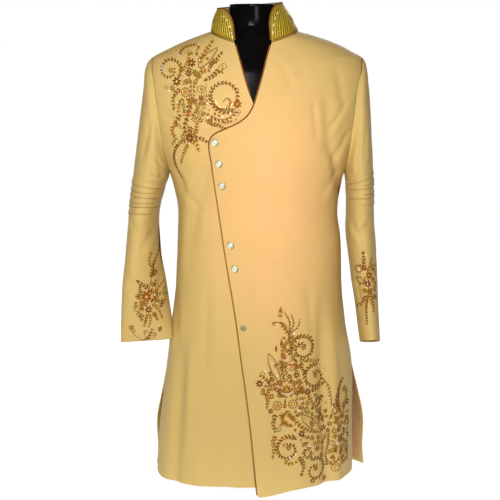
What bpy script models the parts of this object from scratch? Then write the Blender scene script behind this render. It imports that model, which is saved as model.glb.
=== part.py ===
"""Knee-length sherwani coat worn on a limbless dress form, built piece by piece.

Metres, +Z up, +X to the viewer's right, the front faces -Y. The origin is the centre
of the stand's underside. Left and right in the tables are the viewer's; the nodes are
named for the wearer, whose left front lies on top of the right one.
Every cloth piece is a closed wall: a grid of outer points, a grid of inner points one
cloth thickness inside them, and a rim. The grids come from horizontal sections of the
body and from rings round each sleeve.
"""

import math

import bmesh
import bpy
import numpy as np

CLOTH = 0.002
SEAM_GAP = 0.0004
OVERLAP_DROP = 0.0034
OVERLAP_WIDTH = 0.050
OVERLAP_RAMP = 0.038
CROSSING = 0.923
CROSSING_RAMP = 0.042
PIPING_RADIUS = 0.0014
LINING = 0.001
BUTTON_RADIUS = 0.0082
PRESS_BUTTON_RADIUS = 0.0065

ARMPIT = 0.723
SHOULDER_END = 0.9835
ARMHOLE_DEPTH = 0.067
NECK_FRONT = 1.016
NECK_SIDE = 1.042
NECK_BACK = 1.054
NECK_CENTRE = -0.006
NECK_HALF = 0.095
NECK_FRONT_HALF = 0.0385
NECK_ROUND = 1.5
TOP_NECK_TRIM = 0.002
UNDER_NECK_TRIM = 0.0055
UNDER_NECK_END = -0.1005
VENT_TOP = 0.258
HEM_LOW = 0.006
HEM_BACK = 0.005
HEM_FADE = 0.3
VENT_ANGLE = math.radians(68)

COLLAR_TOP = 1.0935
COLLAR_TILT = 0.09
COLLAR_TOP_CENTRE = -0.0165
COLLAR_TOP_HALF = 0.0715
COLLAR_TOP_FRONT = 0.064
COLLAR_TOP_BACK = 0.060
COLLAR_CORNER = 0.045
COLLAR_END_HEIGHT = 0.42
COLLAR_OPENING = 0.53
COLLAR_BACK_RISE = 0.004
COLLAR_BOW = 0.0025
COLLAR_COUNT = 241

FORM_BOTTOM = 0.348
FORM_TOP = 1.095
CAP_THICKNESS = 0.006
POLE_RADIUS = 0.0125
BASE_HALF_WIDTH = 0.160
BASE_HALF_DEPTH = 0.092
BASE_THICKNESS = 0.008
BOSS_RADIUS = 0.026
BOSS_HEIGHT = 0.026
SEAT_GAP = 0.0003

# Horizontal sections. left and right are where the section ends at the sides, depth is
# how far it reaches to the front or back, edge_y is where it ends, and the square
# columns are the exponents of the superellipse on each side (2 is an ellipse).
SECTION_COLUMNS = ("height", "left", "right", "depth", "edge_y", "square_left", "square_right")
FRONT_SECTIONS = (
    (-0.002, -0.2365, 0.2275, 0.166, -0.004, 3.4, 2.0),
    (0.107, -0.231, 0.2265, 0.162, -0.004, 3.2, 2.0),
    (0.206, -0.220, 0.2255, 0.155, -0.002, 3.0, 2.1),
    (0.278, -0.211, 0.2225, 0.150, 0.0, 2.8, 2.1),
    (0.376, -0.199, 0.206, 0.143, 0.0, 2.6, 2.2),
    (0.472, -0.188, 0.196, 0.134, 0.0, 2.4, 2.3),
    (0.566, -0.183, 0.193, 0.126, 0.0, 2.3, 2.3),
    (0.637, -0.181, 0.184, 0.124, 0.0, 2.3, 2.3),
    (0.683, -0.188, 0.190, 0.127, 0.0, 2.3, 2.3),
    (0.723, -0.199, 0.198, 0.130, 0.0, 2.3, 2.3),
    (0.763, -0.217, 0.213, 0.131, 0.0, 2.3, 2.3),
    (0.808, -0.233, 0.228, 0.130, 0.0, 2.3, 2.3),
    (0.858, -0.246, 0.240, 0.126, 0.0, 2.3, 2.3),
    (0.908, -0.252, 0.246, 0.118, 0.0, 2.25, 2.25),
    (0.948, -0.2495, 0.2465, 0.109, 0.0, 2.2, 2.2),
    (0.975, -0.2400, 0.2390, 0.100, 0.0, 2.1, 2.1),
    (0.9835, -0.2345, 0.2350, 0.096, 0.0, 2.05, 2.05),
    (0.995, -0.214, 0.215, 0.091, 0.0, 2.0, 2.0),
    (1.013, -0.176, 0.179, 0.082, 0.0, 2.0, 2.0),
    (1.031, -0.131, 0.129, 0.073, 0.0, 2.0, 2.0),
    (1.042, -0.101, 0.089, 0.067, 0.0, 2.0, 2.0),
    (1.054, -0.078, 0.066, 0.062, 0.0, 2.0, 2.0),
    (1.073, -0.066, 0.054, 0.061, 0.0, 2.0, 2.0),
    (1.108, -0.065, 0.053, 0.061, 0.0, 2.0, 2.0),
)
BACK_SECTIONS = (
    (-0.002, -0.2644, 0.2819, 0.166, -0.010, 2.0, 2.0),
    (0.107, -0.2511, 0.2671, 0.161, -0.008, 2.0, 2.0),
    (0.206, -0.2245, 0.2405, 0.153, -0.003, 2.1, 2.1),
    (0.278, -0.211, 0.2225, 0.147, 0.0, 2.3, 2.3),
    (0.376, -0.199, 0.206, 0.137, 0.0, 2.4, 2.4),
    (0.472, -0.188, 0.196, 0.124, 0.0, 2.4, 2.4),
    (0.566, -0.183, 0.193, 0.112, 0.0, 2.3, 2.3),
    (0.637, -0.181, 0.184, 0.108, 0.0, 2.3, 2.3),
    (0.683, -0.188, 0.190, 0.112, 0.0, 2.3, 2.3),
    (0.723, -0.199, 0.198, 0.118, 0.0, 2.3, 2.3),
    (0.763, -0.217, 0.213, 0.122, 0.0, 2.3, 2.3),
    (0.808, -0.233, 0.228, 0.125, 0.0, 2.3, 2.3),
    (0.858, -0.246, 0.240, 0.126, 0.0, 2.3, 2.3),
    (0.908, -0.252, 0.246, 0.122, 0.0, 2.25, 2.25),
    (0.948, -0.2495, 0.2465, 0.116, 0.0, 2.2, 2.2),
    (0.975, -0.2400, 0.2390, 0.109, 0.0, 2.1, 2.1),
    (0.9835, -0.2345, 0.2350, 0.105, 0.0, 2.05, 2.05),
    (0.995, -0.214, 0.215, 0.101, 0.0, 2.0, 2.0),
    (1.013, -0.176, 0.179, 0.092, 0.0, 2.0, 2.0),
    (1.031, -0.131, 0.129, 0.081, 0.0, 2.0, 2.0),
    (1.042, -0.101, 0.089, 0.074, 0.0, 2.0, 2.0),
    (1.054, -0.078, 0.066, 0.066, 0.0, 2.0, 2.0),
    (1.073, -0.066, 0.054, 0.060, 0.0, 2.0, 2.0),
    (1.108, -0.065, 0.053, 0.058, 0.0, 2.0, 2.0),
)

# The piped edge of the top front: down the neckline, across the chest in a soft
# S-curve, and straight down to the hem.
TOP_EDGE_COLUMNS = ("height", "x")
TOP_EDGE = (
    (-0.002, 0.003),
    (0.040, -0.002),
    (0.135, -0.011),
    (0.229, -0.022),
    (0.322, -0.035),
    (0.413, -0.047),
    (0.544, -0.069),
    (0.633, -0.082),
    (0.722, -0.095),
    (0.765, -0.101),
    (0.783, -0.1035),
    (0.796, -0.1045),
    (0.806, -0.1030),
    (0.815, -0.0980),
    (0.822, -0.0890),
    (0.830, -0.0720),
    (0.839, -0.0510),
    (0.850, -0.0320),
    (0.862, -0.0190),
    (0.881, -0.0080),
    (0.907, 0.0005),
    (0.932, 0.0080),
    (0.958, 0.0150),
    (0.983, 0.0210),
    (1.016, 0.0305),
)
# The edge of the under front: its own neckline, then hidden under the top front.
UNDER_EDGE = (
    (-0.002, 0.080),
    (0.138, 0.068),
    (0.288, 0.048),
    (0.488, 0.018),
    (0.688, -0.002),
    (0.788, 0.008),
    (0.848, 0.004),
    (0.881, -0.007),
    (0.894, -0.012),
    (0.919, -0.022),
    (0.945, -0.030),
    (0.971, -0.037),
    (0.996, -0.0445),
    (1.016, -0.0500),
)

# How much each front's hem rises: at its corner, at its side, and where across it ends.
TOP_HEM = (0.0, 0.015, 0.11)
UNDER_HEM = (0.022, 0.026, 0.17)

# Soft folds: a line from (x, height) to (x, height), its half width, and how far the
# cloth stands out (ridge) or in (trough).
FOLD_COLUMNS = ("top_x", "top", "bottom_x", "bottom", "width", "rise")
FRONT_FOLDS = (
    (-0.106, 0.788, -0.160, 0.548, 0.016, -0.0045),
    (-0.150, 0.748, -0.172, 0.468, 0.012, 0.0030),
    (0.152, 0.918, 0.156, 0.758, 0.013, -0.0035),
    (0.158, 0.818, 0.196, 0.648, 0.011, -0.0050),
    (0.172, 0.973, 0.192, 0.868, 0.010, -0.0025),
    (0.140, 0.488, 0.172, -0.162, 0.015, -0.0090),
    (0.166, 0.448, 0.196, -0.162, 0.012, 0.0050),
    (-0.168, 0.408, -0.200, -0.162, 0.014, -0.0070),
    (0.095, 0.318, 0.104, -0.212, 0.020, 0.0030),
    (-0.130, 0.288, -0.134, -0.212, 0.022, 0.0035),
    (-0.070, 0.228, -0.068, -0.212, 0.018, -0.0025),
)
BACK_FOLDS = (
    (-0.090, 0.548, -0.120, -0.162, 0.020, -0.0080),
    (-0.030, 0.468, -0.040, -0.162, 0.022, 0.0060),
    (0.040, 0.508, 0.052, -0.162, 0.018, -0.0070),
    (0.110, 0.548, 0.140, -0.162, 0.020, 0.0070),
    (-0.160, 0.408, -0.190, -0.162, 0.014, 0.0050),
    (0.170, 0.408, 0.205, -0.162, 0.014, -0.0060),
    (-0.130, 0.918, -0.150, 0.728, 0.014, -0.0040),
    (0.130, 0.928, 0.152, 0.728, 0.014, -0.0040),
    (0.060, 0.708, 0.020, 0.578, 0.016, -0.0040),
    (-0.070, 0.718, -0.030, 0.578, 0.016, -0.0035),
)

# Rings of the sleeves from the armhole to the cuff: the outer and inner point seen from
# the front, the centre's y, the half depth, the forward pitch in degrees, and the shear
# that turns the flattened tube.
SLEEVE_COLUMNS = (
    "outer_x", "outer_z", "inner_x", "inner_z", "centre_y", "half_depth", "pitch", "shear",
)
LEFT_SLEEVE = (
    (-0.2345, 0.9835, -0.1998, 0.7230, 0.000, 0.064, 0, 0.0),
    (-0.2455, 0.9740, -0.2003, 0.7215, 0.000, 0.067, 0, 0.0),
    (-0.2530, 0.9520, -0.2007, 0.7200, 0.001, 0.071, 0, 0.0),
    (-0.2565, 0.9160, -0.2012, 0.7180, 0.002, 0.075, 0, 0.0),
    (-0.2620, 0.8760, -0.2018, 0.7155, 0.003, 0.078, 0, 0.0),
    (-0.2680, 0.8330, -0.2025, 0.7125, 0.005, 0.080, 0, 0.0),
    (-0.2740, 0.7900, -0.2035, 0.7090, 0.007, 0.080, 0, 0.0),
    (-0.2800, 0.7480, -0.2055, 0.7045, 0.009, 0.080, 0, 0.0),
    (-0.2850, 0.7130, -0.2090, 0.6960, 0.011, 0.079, 1, 0.0),
    (-0.2890, 0.6840, -0.2140, 0.6780, 0.012, 0.078, 2, 0.0),
    (-0.2925, 0.6540, -0.2215, 0.6530, 0.012, 0.077, 4, 0.1),
    (-0.2955, 0.6240, -0.2265, 0.6240, 0.011, 0.076, 7, 0.2),
    (-0.2975, 0.5930, -0.2280, 0.5930, 0.007, 0.074, 10, 0.3),
    (-0.3010, 0.5530, -0.2260, 0.5530, 0.000, 0.070, 13, 0.4),
    (-0.3040, 0.5130, -0.2190, 0.5130, -0.010, 0.063, 15, 0.5),
    (-0.3080, 0.4680, -0.2105, 0.4680, -0.022, 0.053, 16, 0.5),
    (-0.3100, 0.4240, -0.2030, 0.4220, -0.034, 0.042, 16, 0.4),
    (-0.3115, 0.3800, -0.1955, 0.3800, -0.047, 0.031, 16, 0.25),
    (-0.3120, 0.3400, -0.1895, 0.3450, -0.058, 0.022, 16, 0.1),
)
RIGHT_SLEEVE = (
    (0.2355, 0.9835, 0.1988, 0.7230, 0.000, 0.064, 0, 0.0),
    (0.2425, 0.9750, 0.1995, 0.7215, 0.000, 0.067, 0, 0.0),
    (0.2475, 0.9540, 0.2000, 0.7200, 0.001, 0.071, 0, 0.0),
    (0.2520, 0.9180, 0.2005, 0.7180, 0.002, 0.075, 0, 0.0),
    (0.2555, 0.8780, 0.2010, 0.7155, 0.003, 0.078, 0, 0.0),
    (0.2585, 0.8350, 0.2015, 0.7125, 0.005, 0.080, 0, 0.0),
    (0.2615, 0.7920, 0.2020, 0.7090, 0.007, 0.080, 0, 0.0),
    (0.2645, 0.7530, 0.2025, 0.7050, 0.009, 0.080, 0, 0.0),
    (0.2660, 0.7230, 0.2030, 0.6990, 0.011, 0.079, 1, 0.0),
    (0.2675, 0.6930, 0.2040, 0.6860, 0.012, 0.078, 2, 0.0),
    (0.2685, 0.6620, 0.2055, 0.6600, 0.012, 0.077, 4, 0.0),
    (0.2695, 0.6280, 0.2055, 0.6280, 0.011, 0.076, 7, 0.0),
    (0.2715, 0.5930, 0.2045, 0.5930, 0.007, 0.074, 10, 0.1),
    (0.2750, 0.5530, 0.2085, 0.5530, 0.000, 0.072, 13, 0.1),
    (0.2765, 0.5130, 0.2135, 0.5130, -0.010, 0.070, 15, 0.1),
    (0.2775, 0.4680, 0.2195, 0.4680, -0.022, 0.067, 17, 0.0),
    (0.2785, 0.4240, 0.2265, 0.4240, -0.035, 0.064, 17, 0.0),
    (0.2800, 0.3800, 0.2315, 0.3800, -0.048, 0.061, 17, 0.0),
    (0.2820, 0.3410, 0.2365, 0.3410, -0.060, 0.058, 17, 0.0),
)
# Tucks sewn across each top sleeve: the height of each tuck's lip on the outside, and
# how far it runs towards the inner seam, as a share of the front of the sleeve.
TUCK_COLUMNS = ("height", "reach")
LEFT_TUCKS = (
    (0.7015, 1.0), (0.6845, 0.72), (0.6715, 1.0), (0.6565, 0.72), (0.6460, 1.0), (0.6285, 0.72),
)
RIGHT_TUCKS = (
    (0.7220, 1.0), (0.7060, 0.5), (0.6950, 1.0), (0.6790, 0.5), (0.6680, 1.0), (0.6520, 0.5),
)
TUCK_RISE = 0.0016
TUCK_LENGTH = 0.0125
SEAM_ANGLES = (math.radians(12), math.radians(166))
CUFF_SHARES = (0.935, 0.965, 0.993, 1.0)

# Buttons on the top front, from the chest down: where each centre is seen from the front.
BUTTON_COLUMNS = ("x", "height")
BUTTONS = (
    (-0.0925, 0.8030), (-0.0840, 0.7560), (-0.0770, 0.7080), (-0.0590, 0.5750), (-0.0500, 0.5230),
    (-0.0310, 0.3920),
)

# How far the form's surface lies inside the coat's outer surface, and the flat plates
# that close its armholes.
FORM_COLUMNS = ("height", "inset", "plate")
FORM = (
    (0.348, 0.020, 0.300),
    (0.518, 0.015, 0.300),
    (0.637, 0.014, 0.300),
    (0.723, 0.011, 0.192),
    (0.788, 0.010, 0.200),
    (0.888, 0.0085, 0.206),
    (0.938, 0.0060, 0.212),
    (0.973, 0.0048, 0.220),
    (1.028, 0.0045, 0.300),
    (1.042, 0.0055, 0.300),
    (1.054, 0.0050, 0.300),
    (1.108, 0.0010, 0.300),
)


def smooth(at, knots, values):
    """A cubic through the knots that never overshoots: each inner slope is the harmonic
    mean of the slopes beside it, or zero where the values turn."""
    at = np.clip(at, knots[0], knots[-1])
    step = np.diff(knots)
    slope = np.diff(values) / step
    tangent = np.concatenate([slope[:1], np.zeros(len(slope) - 1), slope[-1:]])
    before, after = slope[:-1], slope[1:]
    same = before * after > 0
    tangent[1:-1][same] = 2 * (before * after)[same] / (before + after)[same]
    i = np.clip(np.searchsorted(knots, at, side="right") - 1, 0, len(step) - 1)
    t = (at - knots[i]) / step[i]
    a, b = values[i], values[i + 1]
    start, end = tangent[i] * step[i], tangent[i + 1] * step[i]
    return (
        a * (1 + 2 * t) * (1 - t) ** 2
        + start * t * (1 - t) ** 2
        + b * t * t * (3 - 2 * t)
        + end * t * t * (t - 1)
    )


def lookup(table, columns, name, at):
    """The named column of a table, read smoothly at these values of its first column."""
    data = np.array(table, float)
    return smooth(np.asarray(at, float), data[:, 0], data[:, columns.index(name)])


def smooth_step(value):
    """0 below 0, 1 above 1, and an S-shaped ramp between."""
    t = np.clip(value, 0, 1)
    return t * t * (3 - 2 * t)


def unit(vectors):
    """The vectors scaled to length 1."""
    return vectors / np.maximum(np.linalg.norm(vectors, axis=-1, keepdims=True), 1e-12)


def section(table, height):
    """The columns of a section table at these heights."""
    return {name: lookup(table, SECTION_COLUMNS, name, height) for name in SECTION_COLUMNS[1:]}


def section_point(table, facing, angle, height):
    """A point of the plain body: angle 0 is the middle and +-90 degrees the sides, and
    facing is -1 for the front and +1 for the back."""
    s = section(table, height)
    sine, cosine = np.sin(angle), np.cos(angle)
    power = 2 / np.where(sine < 0, s["square_left"], s["square_right"])
    centre, half = (s["left"] + s["right"]) / 2, (s["right"] - s["left"]) / 2
    x = centre + half * np.sign(sine) * np.abs(sine) ** power
    y = s["edge_y"] + facing * s["depth"] * np.sign(cosine) * np.abs(cosine) ** power
    return np.stack(np.broadcast_arrays(x, y, height), axis=-1)


def section_angle(table, x, height):
    """The angle at which a section passes this x."""
    s = section(table, height)
    centre, half = (s["left"] + s["right"]) / 2, (s["right"] - s["left"]) / 2
    share = np.clip((x - centre) / half, -1, 1)
    square = np.where(share < 0, s["square_left"], s["square_right"])
    return np.arcsin(np.sign(share) * np.abs(share) ** (square / 2))


def section_normal(table, facing, angle, height):
    """The outward normal of the plain body, from points a little to each side."""
    turn, rise = 0.01, 0.002
    across = section_point(table, facing, angle + turn, height) - section_point(
        table, facing, angle - turn, height
    )
    up = section_point(table, facing, angle, height + rise) - section_point(
        table, facing, angle, height - rise
    )
    return unit(np.cross(across, up) * -facing)


def folds(table, x, height):
    """How far the folds of a table move the cloth: a bell across each fold's line, faded
    in over the fold's first quarter and out over its last."""
    moved = np.zeros(np.broadcast(x, height).shape)
    for top_x, top, bottom_x, bottom, width, rise in table:
        share = (top - height) / (top - bottom)
        line = top_x + (bottom_x - top_x) * share
        fade = smooth_step(share * 4) * smooth_step((1 - share) * 4)
        moved = moved + rise * fade * np.exp(-(((x - line) / width) ** 2))
    return moved


def even_angles(table, facing, start, end, height, shares):
    """Angles that part each row, from start to end, at these shares of its length."""
    rows = []
    for first, last, z in zip(start, end, height):
        fine = np.linspace(first, last, 160)
        points = section_point(table, facing, fine, np.full(160, z))
        length = np.linalg.norm(np.diff(points, axis=0), axis=1)
        along = np.concatenate([[0], np.cumsum(length)])
        rows.append(np.interp(shares * along[-1], along, fine))
    return np.array(rows)


def clear_scene():
    """Removes every object of the startup scene."""
    for obj in list(bpy.data.objects):
        bpy.data.objects.remove(obj)


def new_material(name, colour, roughness, metallic=0.0):
    """A Principled material with this colour and finish."""
    material = bpy.data.materials.new(name)
    material.use_nodes = True
    shader = material.node_tree.nodes["Principled BSDF"]
    shader.inputs["Base Color"].default_value = (*colour, 1)
    shader.inputs["Roughness"].default_value = roughness
    shader.inputs["Metallic"].default_value = metallic
    return material


def add(obj, material, collection):
    """Puts a finished object in the collection with its material."""
    for old in list(obj.users_collection):
        old.objects.unlink(obj)
    collection.objects.link(obj)
    obj.data.materials.clear()
    obj.data.materials.append(material)
    return obj


def wall(name, outer, inner, closed=False):
    """A closed cloth wall between two grids of points, with a rim round its edges.
    A closed wall is a tube whose last column joins its first. Each square is split the
    same way on both sides, so that the wall keeps its thickness where it twists."""
    rows, columns = outer.shape[:2]
    across = columns if closed else columns - 1
    layer = rows * columns

    def at(row, column, side):
        return side * layer + row * columns + column % columns

    faces = []
    for row in range(rows - 1):
        for column in range(across):
            for side in (0, 1):
                low, high = at(row, column, side), at(row + 1, column + 1, side)
                faces.append([low, at(row, column + 1, side), high])
                faces.append([low, high, at(row + 1, column, side)])
    for row in (0, rows - 1):
        for column in range(across):
            faces.append([
                at(row, column, 0), at(row, column + 1, 0),
                at(row, column + 1, 1), at(row, column, 1),
            ])
    if not closed:
        for column in (0, columns - 1):
            for row in range(rows - 1):
                faces.append([
                    at(row, column, 0), at(row + 1, column, 0),
                    at(row + 1, column, 1), at(row, column, 1),
                ])
    mesh = bpy.data.meshes.new(name)
    mesh.from_pydata(np.concatenate([outer.reshape(-1, 3), inner.reshape(-1, 3)]), [], faces)
    return bpy.data.objects.new(name, face_outwards(mesh))


def face_outwards(mesh):
    """The closed mesh with its faces turned outwards and its soft edges shaded smooth."""
    shape = bmesh.new()
    shape.from_mesh(mesh)
    bmesh.ops.recalc_face_normals(shape, faces=shape.faces)
    if shape.calc_volume(signed=True) < 0:
        bmesh.ops.reverse_faces(shape, faces=shape.faces)
    shape.to_mesh(mesh)
    shape.free()
    mesh.shade_smooth()
    mesh.set_sharp_from_angle(angle=math.radians(50))
    return mesh


def rod(name, points, radius):
    """A round cord along the points, with filled ends."""
    curve = bpy.data.curves.new(name, "CURVE")
    curve.dimensions = "3D"
    curve.bevel_depth = radius
    curve.bevel_resolution = 1
    curve.use_fill_caps = True
    spline = curve.splines.new("POLY")
    spline.points.add(len(points) - 1)
    for target, point in zip(spline.points, points):
        target.co = (*point, 1)
    return bpy.data.objects.new(name, curve)


def neck_half_at(height):
    """Half the width of the front neckline at this height."""
    share = np.clip((height - NECK_FRONT) / (NECK_SIDE - NECK_FRONT), 0, 1)
    return NECK_FRONT_HALF + (NECK_HALF - NECK_FRONT_HALF) * (1 - (1 - share) ** NECK_ROUND)


def side_angle(table, side, height):
    """Where a front or back ends at its side: at the side or shoulder seam, or at the
    armhole between them, whose depth follows an ellipse."""
    middle, half = (SHOULDER_END + ARMPIT) / 2, (SHOULDER_END - ARMPIT) / 2
    depth = ARMHOLE_DEPTH * np.sqrt(np.clip(1 - ((height - middle) / half) ** 2, 0, 1))
    s = section(table, height)
    square = s["square_left"] if side < 0 else s["square_right"]
    share = np.clip(depth / s["depth"], 0, 1)
    return side * np.arccos(share ** (square / 2))


def seam_trim(angle, side, height):
    """The side angle drawn back by the seam's gap, as an angle on a body half as wide as
    it is at this height."""
    return angle - side * SEAM_GAP * 0.75 / lookup(FRONT_SECTIONS, SECTION_COLUMNS, "depth", height)


def hem_lift(x, height, hem):
    """How much a hem rises from its corner towards the side, faded out above the knee."""
    low, middle, end_x = hem
    share = smooth_step(np.abs(x) / end_x)
    fade = np.clip(1 - (height - HEM_LOW) / HEM_FADE, 0, 1) ** 2
    return (low + (middle - low) * share) * fade


def no_drop(x, height):
    """The top front lies on the body's surface all over."""
    return np.zeros(np.broadcast(x, height).shape)


def under_drop(x, height):
    """How far the under front lies inside the body's surface: one wall and a gap beneath
    the top front, and nothing away from it."""
    edge = lookup(TOP_EDGE, TOP_EDGE_COLUMNS, "x", height)
    beside = smooth_step((x - (edge - OVERLAP_WIDTH)) / OVERLAP_RAMP)
    below_neckline = smooth_step((CROSSING - height) / CROSSING_RAMP)
    return OVERLAP_DROP * beside * below_neckline


FRONT_SHARES = np.linspace(0, 1, 13)
BACK_SHARES = np.concatenate([[0], np.linspace(0.024, 0.976, 20), [1]])
PANEL_HEIGHTS = np.array([
    HEM_LOW, 0.058, 0.118, 0.178, 0.223, VENT_TOP, 0.313, 0.373, 0.433, 0.493, 0.548, 0.598, 0.643,
    0.688, ARMPIT, 0.7295, 0.743, 0.766, 0.783, 0.795, 0.806, 0.815, 0.823, 0.831, 0.840, 0.850,
    0.863, 0.881, 0.903, 0.928, 0.951, 0.968, 0.978, SHOULDER_END, 0.995, 1.006, NECK_FRONT, 1.026,
    1.035, 1.0412,
])


def top_front_rows():
    """The rows of the top front: heights, and the angles of its edge and of its side."""
    height = PANEL_HEIGHTS
    edge = lookup(TOP_EDGE, TOP_EDGE_COLUMNS, "x", height)
    neck = NECK_CENTRE + neck_half_at(height) - TOP_NECK_TRIM
    edge = np.where(height > NECK_FRONT, np.maximum(edge, neck), edge)
    start = section_angle(FRONT_SECTIONS, edge, height)
    end = seam_trim(side_angle(FRONT_SECTIONS, 1, height), 1, height)
    return height, start, end


def under_front_rows():
    """The rows of the under front, from its side to its own edge."""
    height = PANEL_HEIGHTS
    edge = lookup(UNDER_EDGE, TOP_EDGE_COLUMNS, "x", height)
    neck = NECK_CENTRE - neck_half_at(height) - UNDER_NECK_TRIM
    neck = np.maximum(neck, UNDER_NECK_END)
    edge = np.where(height > NECK_FRONT, np.minimum(edge, neck), edge)
    start = seam_trim(side_angle(FRONT_SECTIONS, -1, height), -1, height)
    end = section_angle(FRONT_SECTIONS, edge, height)
    return height, start, end


def front_panel(name, rows, drop, lift):
    """A front: rows of points from edge to side on the body, with folds, hem and drop."""
    height, start, end = rows
    angle = even_angles(FRONT_SECTIONS, -1, start, end, height, FRONT_SHARES)
    tall = np.repeat(height[:, None], len(FRONT_SHARES), axis=1)
    plain = section_point(FRONT_SECTIONS, -1, angle, tall)
    tall = tall + lift(plain[..., 0], tall)
    point = section_point(FRONT_SECTIONS, -1, angle, tall)
    normal = section_normal(FRONT_SECTIONS, -1, angle, tall)
    rise = folds(FRONT_FOLDS, point[..., 0], tall) - drop(point[..., 0], tall)
    outer = point + normal * rise[..., None]
    return wall(name, outer, outer - normal * CLOTH)


def make_top_front():
    """The wearer's left front, which lies on top and carries the buttons."""
    return front_panel(
        "front_left", top_front_rows(), no_drop, lambda x, z: hem_lift(x, z, TOP_HEM)
    )


def make_under_front():
    """The wearer's right front, whose edge lies hidden under the other."""
    return front_panel(
        "front_right", under_front_rows(), under_drop, lambda x, z: hem_lift(x, z, UNDER_HEM)
    )


def back_neck_reach(height):
    """How far the back reaches from its middle above the side of the neck."""
    share = np.clip((height - NECK_SIDE) / (NECK_BACK - NECK_SIDE), 0, 1)
    return NECK_HALF * np.sqrt(1 - share)


def back_rows():
    """The rows of the back, between its side seams, armholes, shoulders and neckline;
    below the vents it ends further back, where it falls open."""
    low = PANEL_HEIGHTS[PANEL_HEIGHTS < 0.748]
    height = np.concatenate([
        [HEM_BACK, HEM_BACK + 0.011], low[1:],
        [0.778, 0.813, 0.848, 0.883, 0.913, 0.938, 0.958, 0.974, SHOULDER_END, 0.995, 1.008, 1.020,
         1.032, 1.0415, 1.0470, 1.0515],
    ])
    ends = []
    open_share = smooth_step((VENT_TOP - height) / (VENT_TOP - HEM_BACK) * 1.1)
    vent = math.pi / 2 - (math.pi / 2 - VENT_ANGLE) * open_share
    for side in (-1, 1):
        angle = seam_trim(side_angle(BACK_SECTIONS, side, height), side, height)
        angle = np.where(height < VENT_TOP, side * vent, angle)
        reach = NECK_CENTRE + side * back_neck_reach(height)
        neck = section_angle(BACK_SECTIONS, reach, height)
        ends.append(np.where(height > NECK_SIDE, neck, angle))
    return height, ends[0], ends[1]


def back_grid():
    """The heights, points and normals of the back's rows."""
    height, start, end = back_rows()
    angle = even_angles(BACK_SECTIONS, 1, start, end, height, BACK_SHARES)
    tall = np.repeat(height[:, None], len(BACK_SHARES), axis=1)
    point = section_point(BACK_SECTIONS, 1, angle, tall)
    normal = section_normal(BACK_SECTIONS, 1, angle, tall)
    rise = folds(BACK_FOLDS, point[..., 0], tall)
    return height, point + normal * rise[..., None], normal


def make_back():
    """The back, in one piece from vent to vent."""
    _, outer, normal = back_grid()
    return wall("back", outer, outer - normal * CLOTH)


def make_vent_lining(name, side):
    """The lining that shows inside the back where the side vent falls open. It takes the
    back's own grid, so that it lies flat against it, and leaves a strip at each edge."""
    height, outer, normal = back_grid()
    columns = slice(-6, -1) if side > 0 else slice(1, 6)
    rows = slice(1, int(np.argmax(height >= VENT_TOP)))
    outer, normal = outer[rows, columns], normal[rows, columns]
    inside = CLOTH + SEAM_GAP
    return wall(name, outer - normal * inside, outer - normal * (inside + LINING))


def armhole_point(side, theta):
    """A point of the armhole seam: theta is 0 at the shoulder's end, a quarter turn at
    the front and half a turn at the armpit."""
    middle, half = (SHOULDER_END + ARMPIT) / 2, (SHOULDER_END - ARMPIT) / 2
    height = middle + half * np.cos(theta)
    front = section_point(FRONT_SECTIONS, -1, side_angle(FRONT_SECTIONS, side, height), height)
    back = section_point(BACK_SECTIONS, 1, side_angle(BACK_SECTIONS, side, height), height)
    return np.where((np.sin(theta) >= 0)[..., None], front, back)


def sleeve_ring(table, share, theta):
    """A point of the plain sleeve: share runs from the armhole (0) to the cuff (1), and
    theta from the outer side (0) over the front to the inner side (pi) and the back."""
    knots = np.linspace(0, 1, len(table))
    data = np.array(table, float)
    read = {
        name: smooth(share, knots, data[:, i]) for i, name in enumerate(SLEEVE_COLUMNS)
    }
    pitch = np.radians(read["pitch"])
    across_x = (read["outer_x"] - read["inner_x"]) / 2
    across_z = (read["outer_z"] - read["inner_z"]) / 2
    cosine = np.cos(theta)
    deep = read["half_depth"] * np.sin(theta)
    x = (read["outer_x"] + read["inner_x"]) / 2 + across_x * cosine
    y = read["centre_y"] - deep * np.cos(pitch) + read["shear"] * across_x * cosine
    z = (read["outer_z"] + read["inner_z"]) / 2 + across_z * cosine + deep * np.sin(pitch)
    return np.stack(np.broadcast_arrays(x, y, z), axis=-1)


def sleeve_point(table, side, share, theta):
    """A point of the sleeve, joined smoothly to the armhole seam and kept just outside
    the body."""
    ring = sleeve_ring(table, share, theta)
    seam = armhole_point(side, theta)
    near_top = smooth_step((seam[..., 2] - 0.928) / 0.04)
    seam[..., 0] += side * SEAM_GAP * (1 + 1.5 * near_top)
    blend = smooth_step(share / 0.075)[..., None]
    point = seam * (1 - blend) + ring * blend
    return outside_body(point, side)


def outside_body(point, side):
    """The points, moved out sideways where they would lie inside the body."""
    x, y, z = point[..., 0], point[..., 1], point[..., 2]
    height = np.clip(z, 0.3, SHOULDER_END)
    least = []
    for table, facing in ((FRONT_SECTIONS, -1), (BACK_SECTIONS, 1)):
        s = section(table, height)
        square = s["square_left"] if side < 0 else s["square_right"]
        share = np.clip(np.abs(y) / s["depth"], 0, 0.999)
        reach = (1 - share ** square) ** (1 / square)
        centre, half = (s["left"] + s["right"]) / 2, (s["right"] - s["left"]) / 2
        least.append(centre + side * half * reach)
    surface = np.where(y < 0, least[0], least[1]) + side * SEAM_GAP * 1.6
    moved = np.maximum(x * side, surface * side) * side
    near = z < 0.79
    return np.stack([np.where(near, moved, x), y, z], axis=-1)


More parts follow.
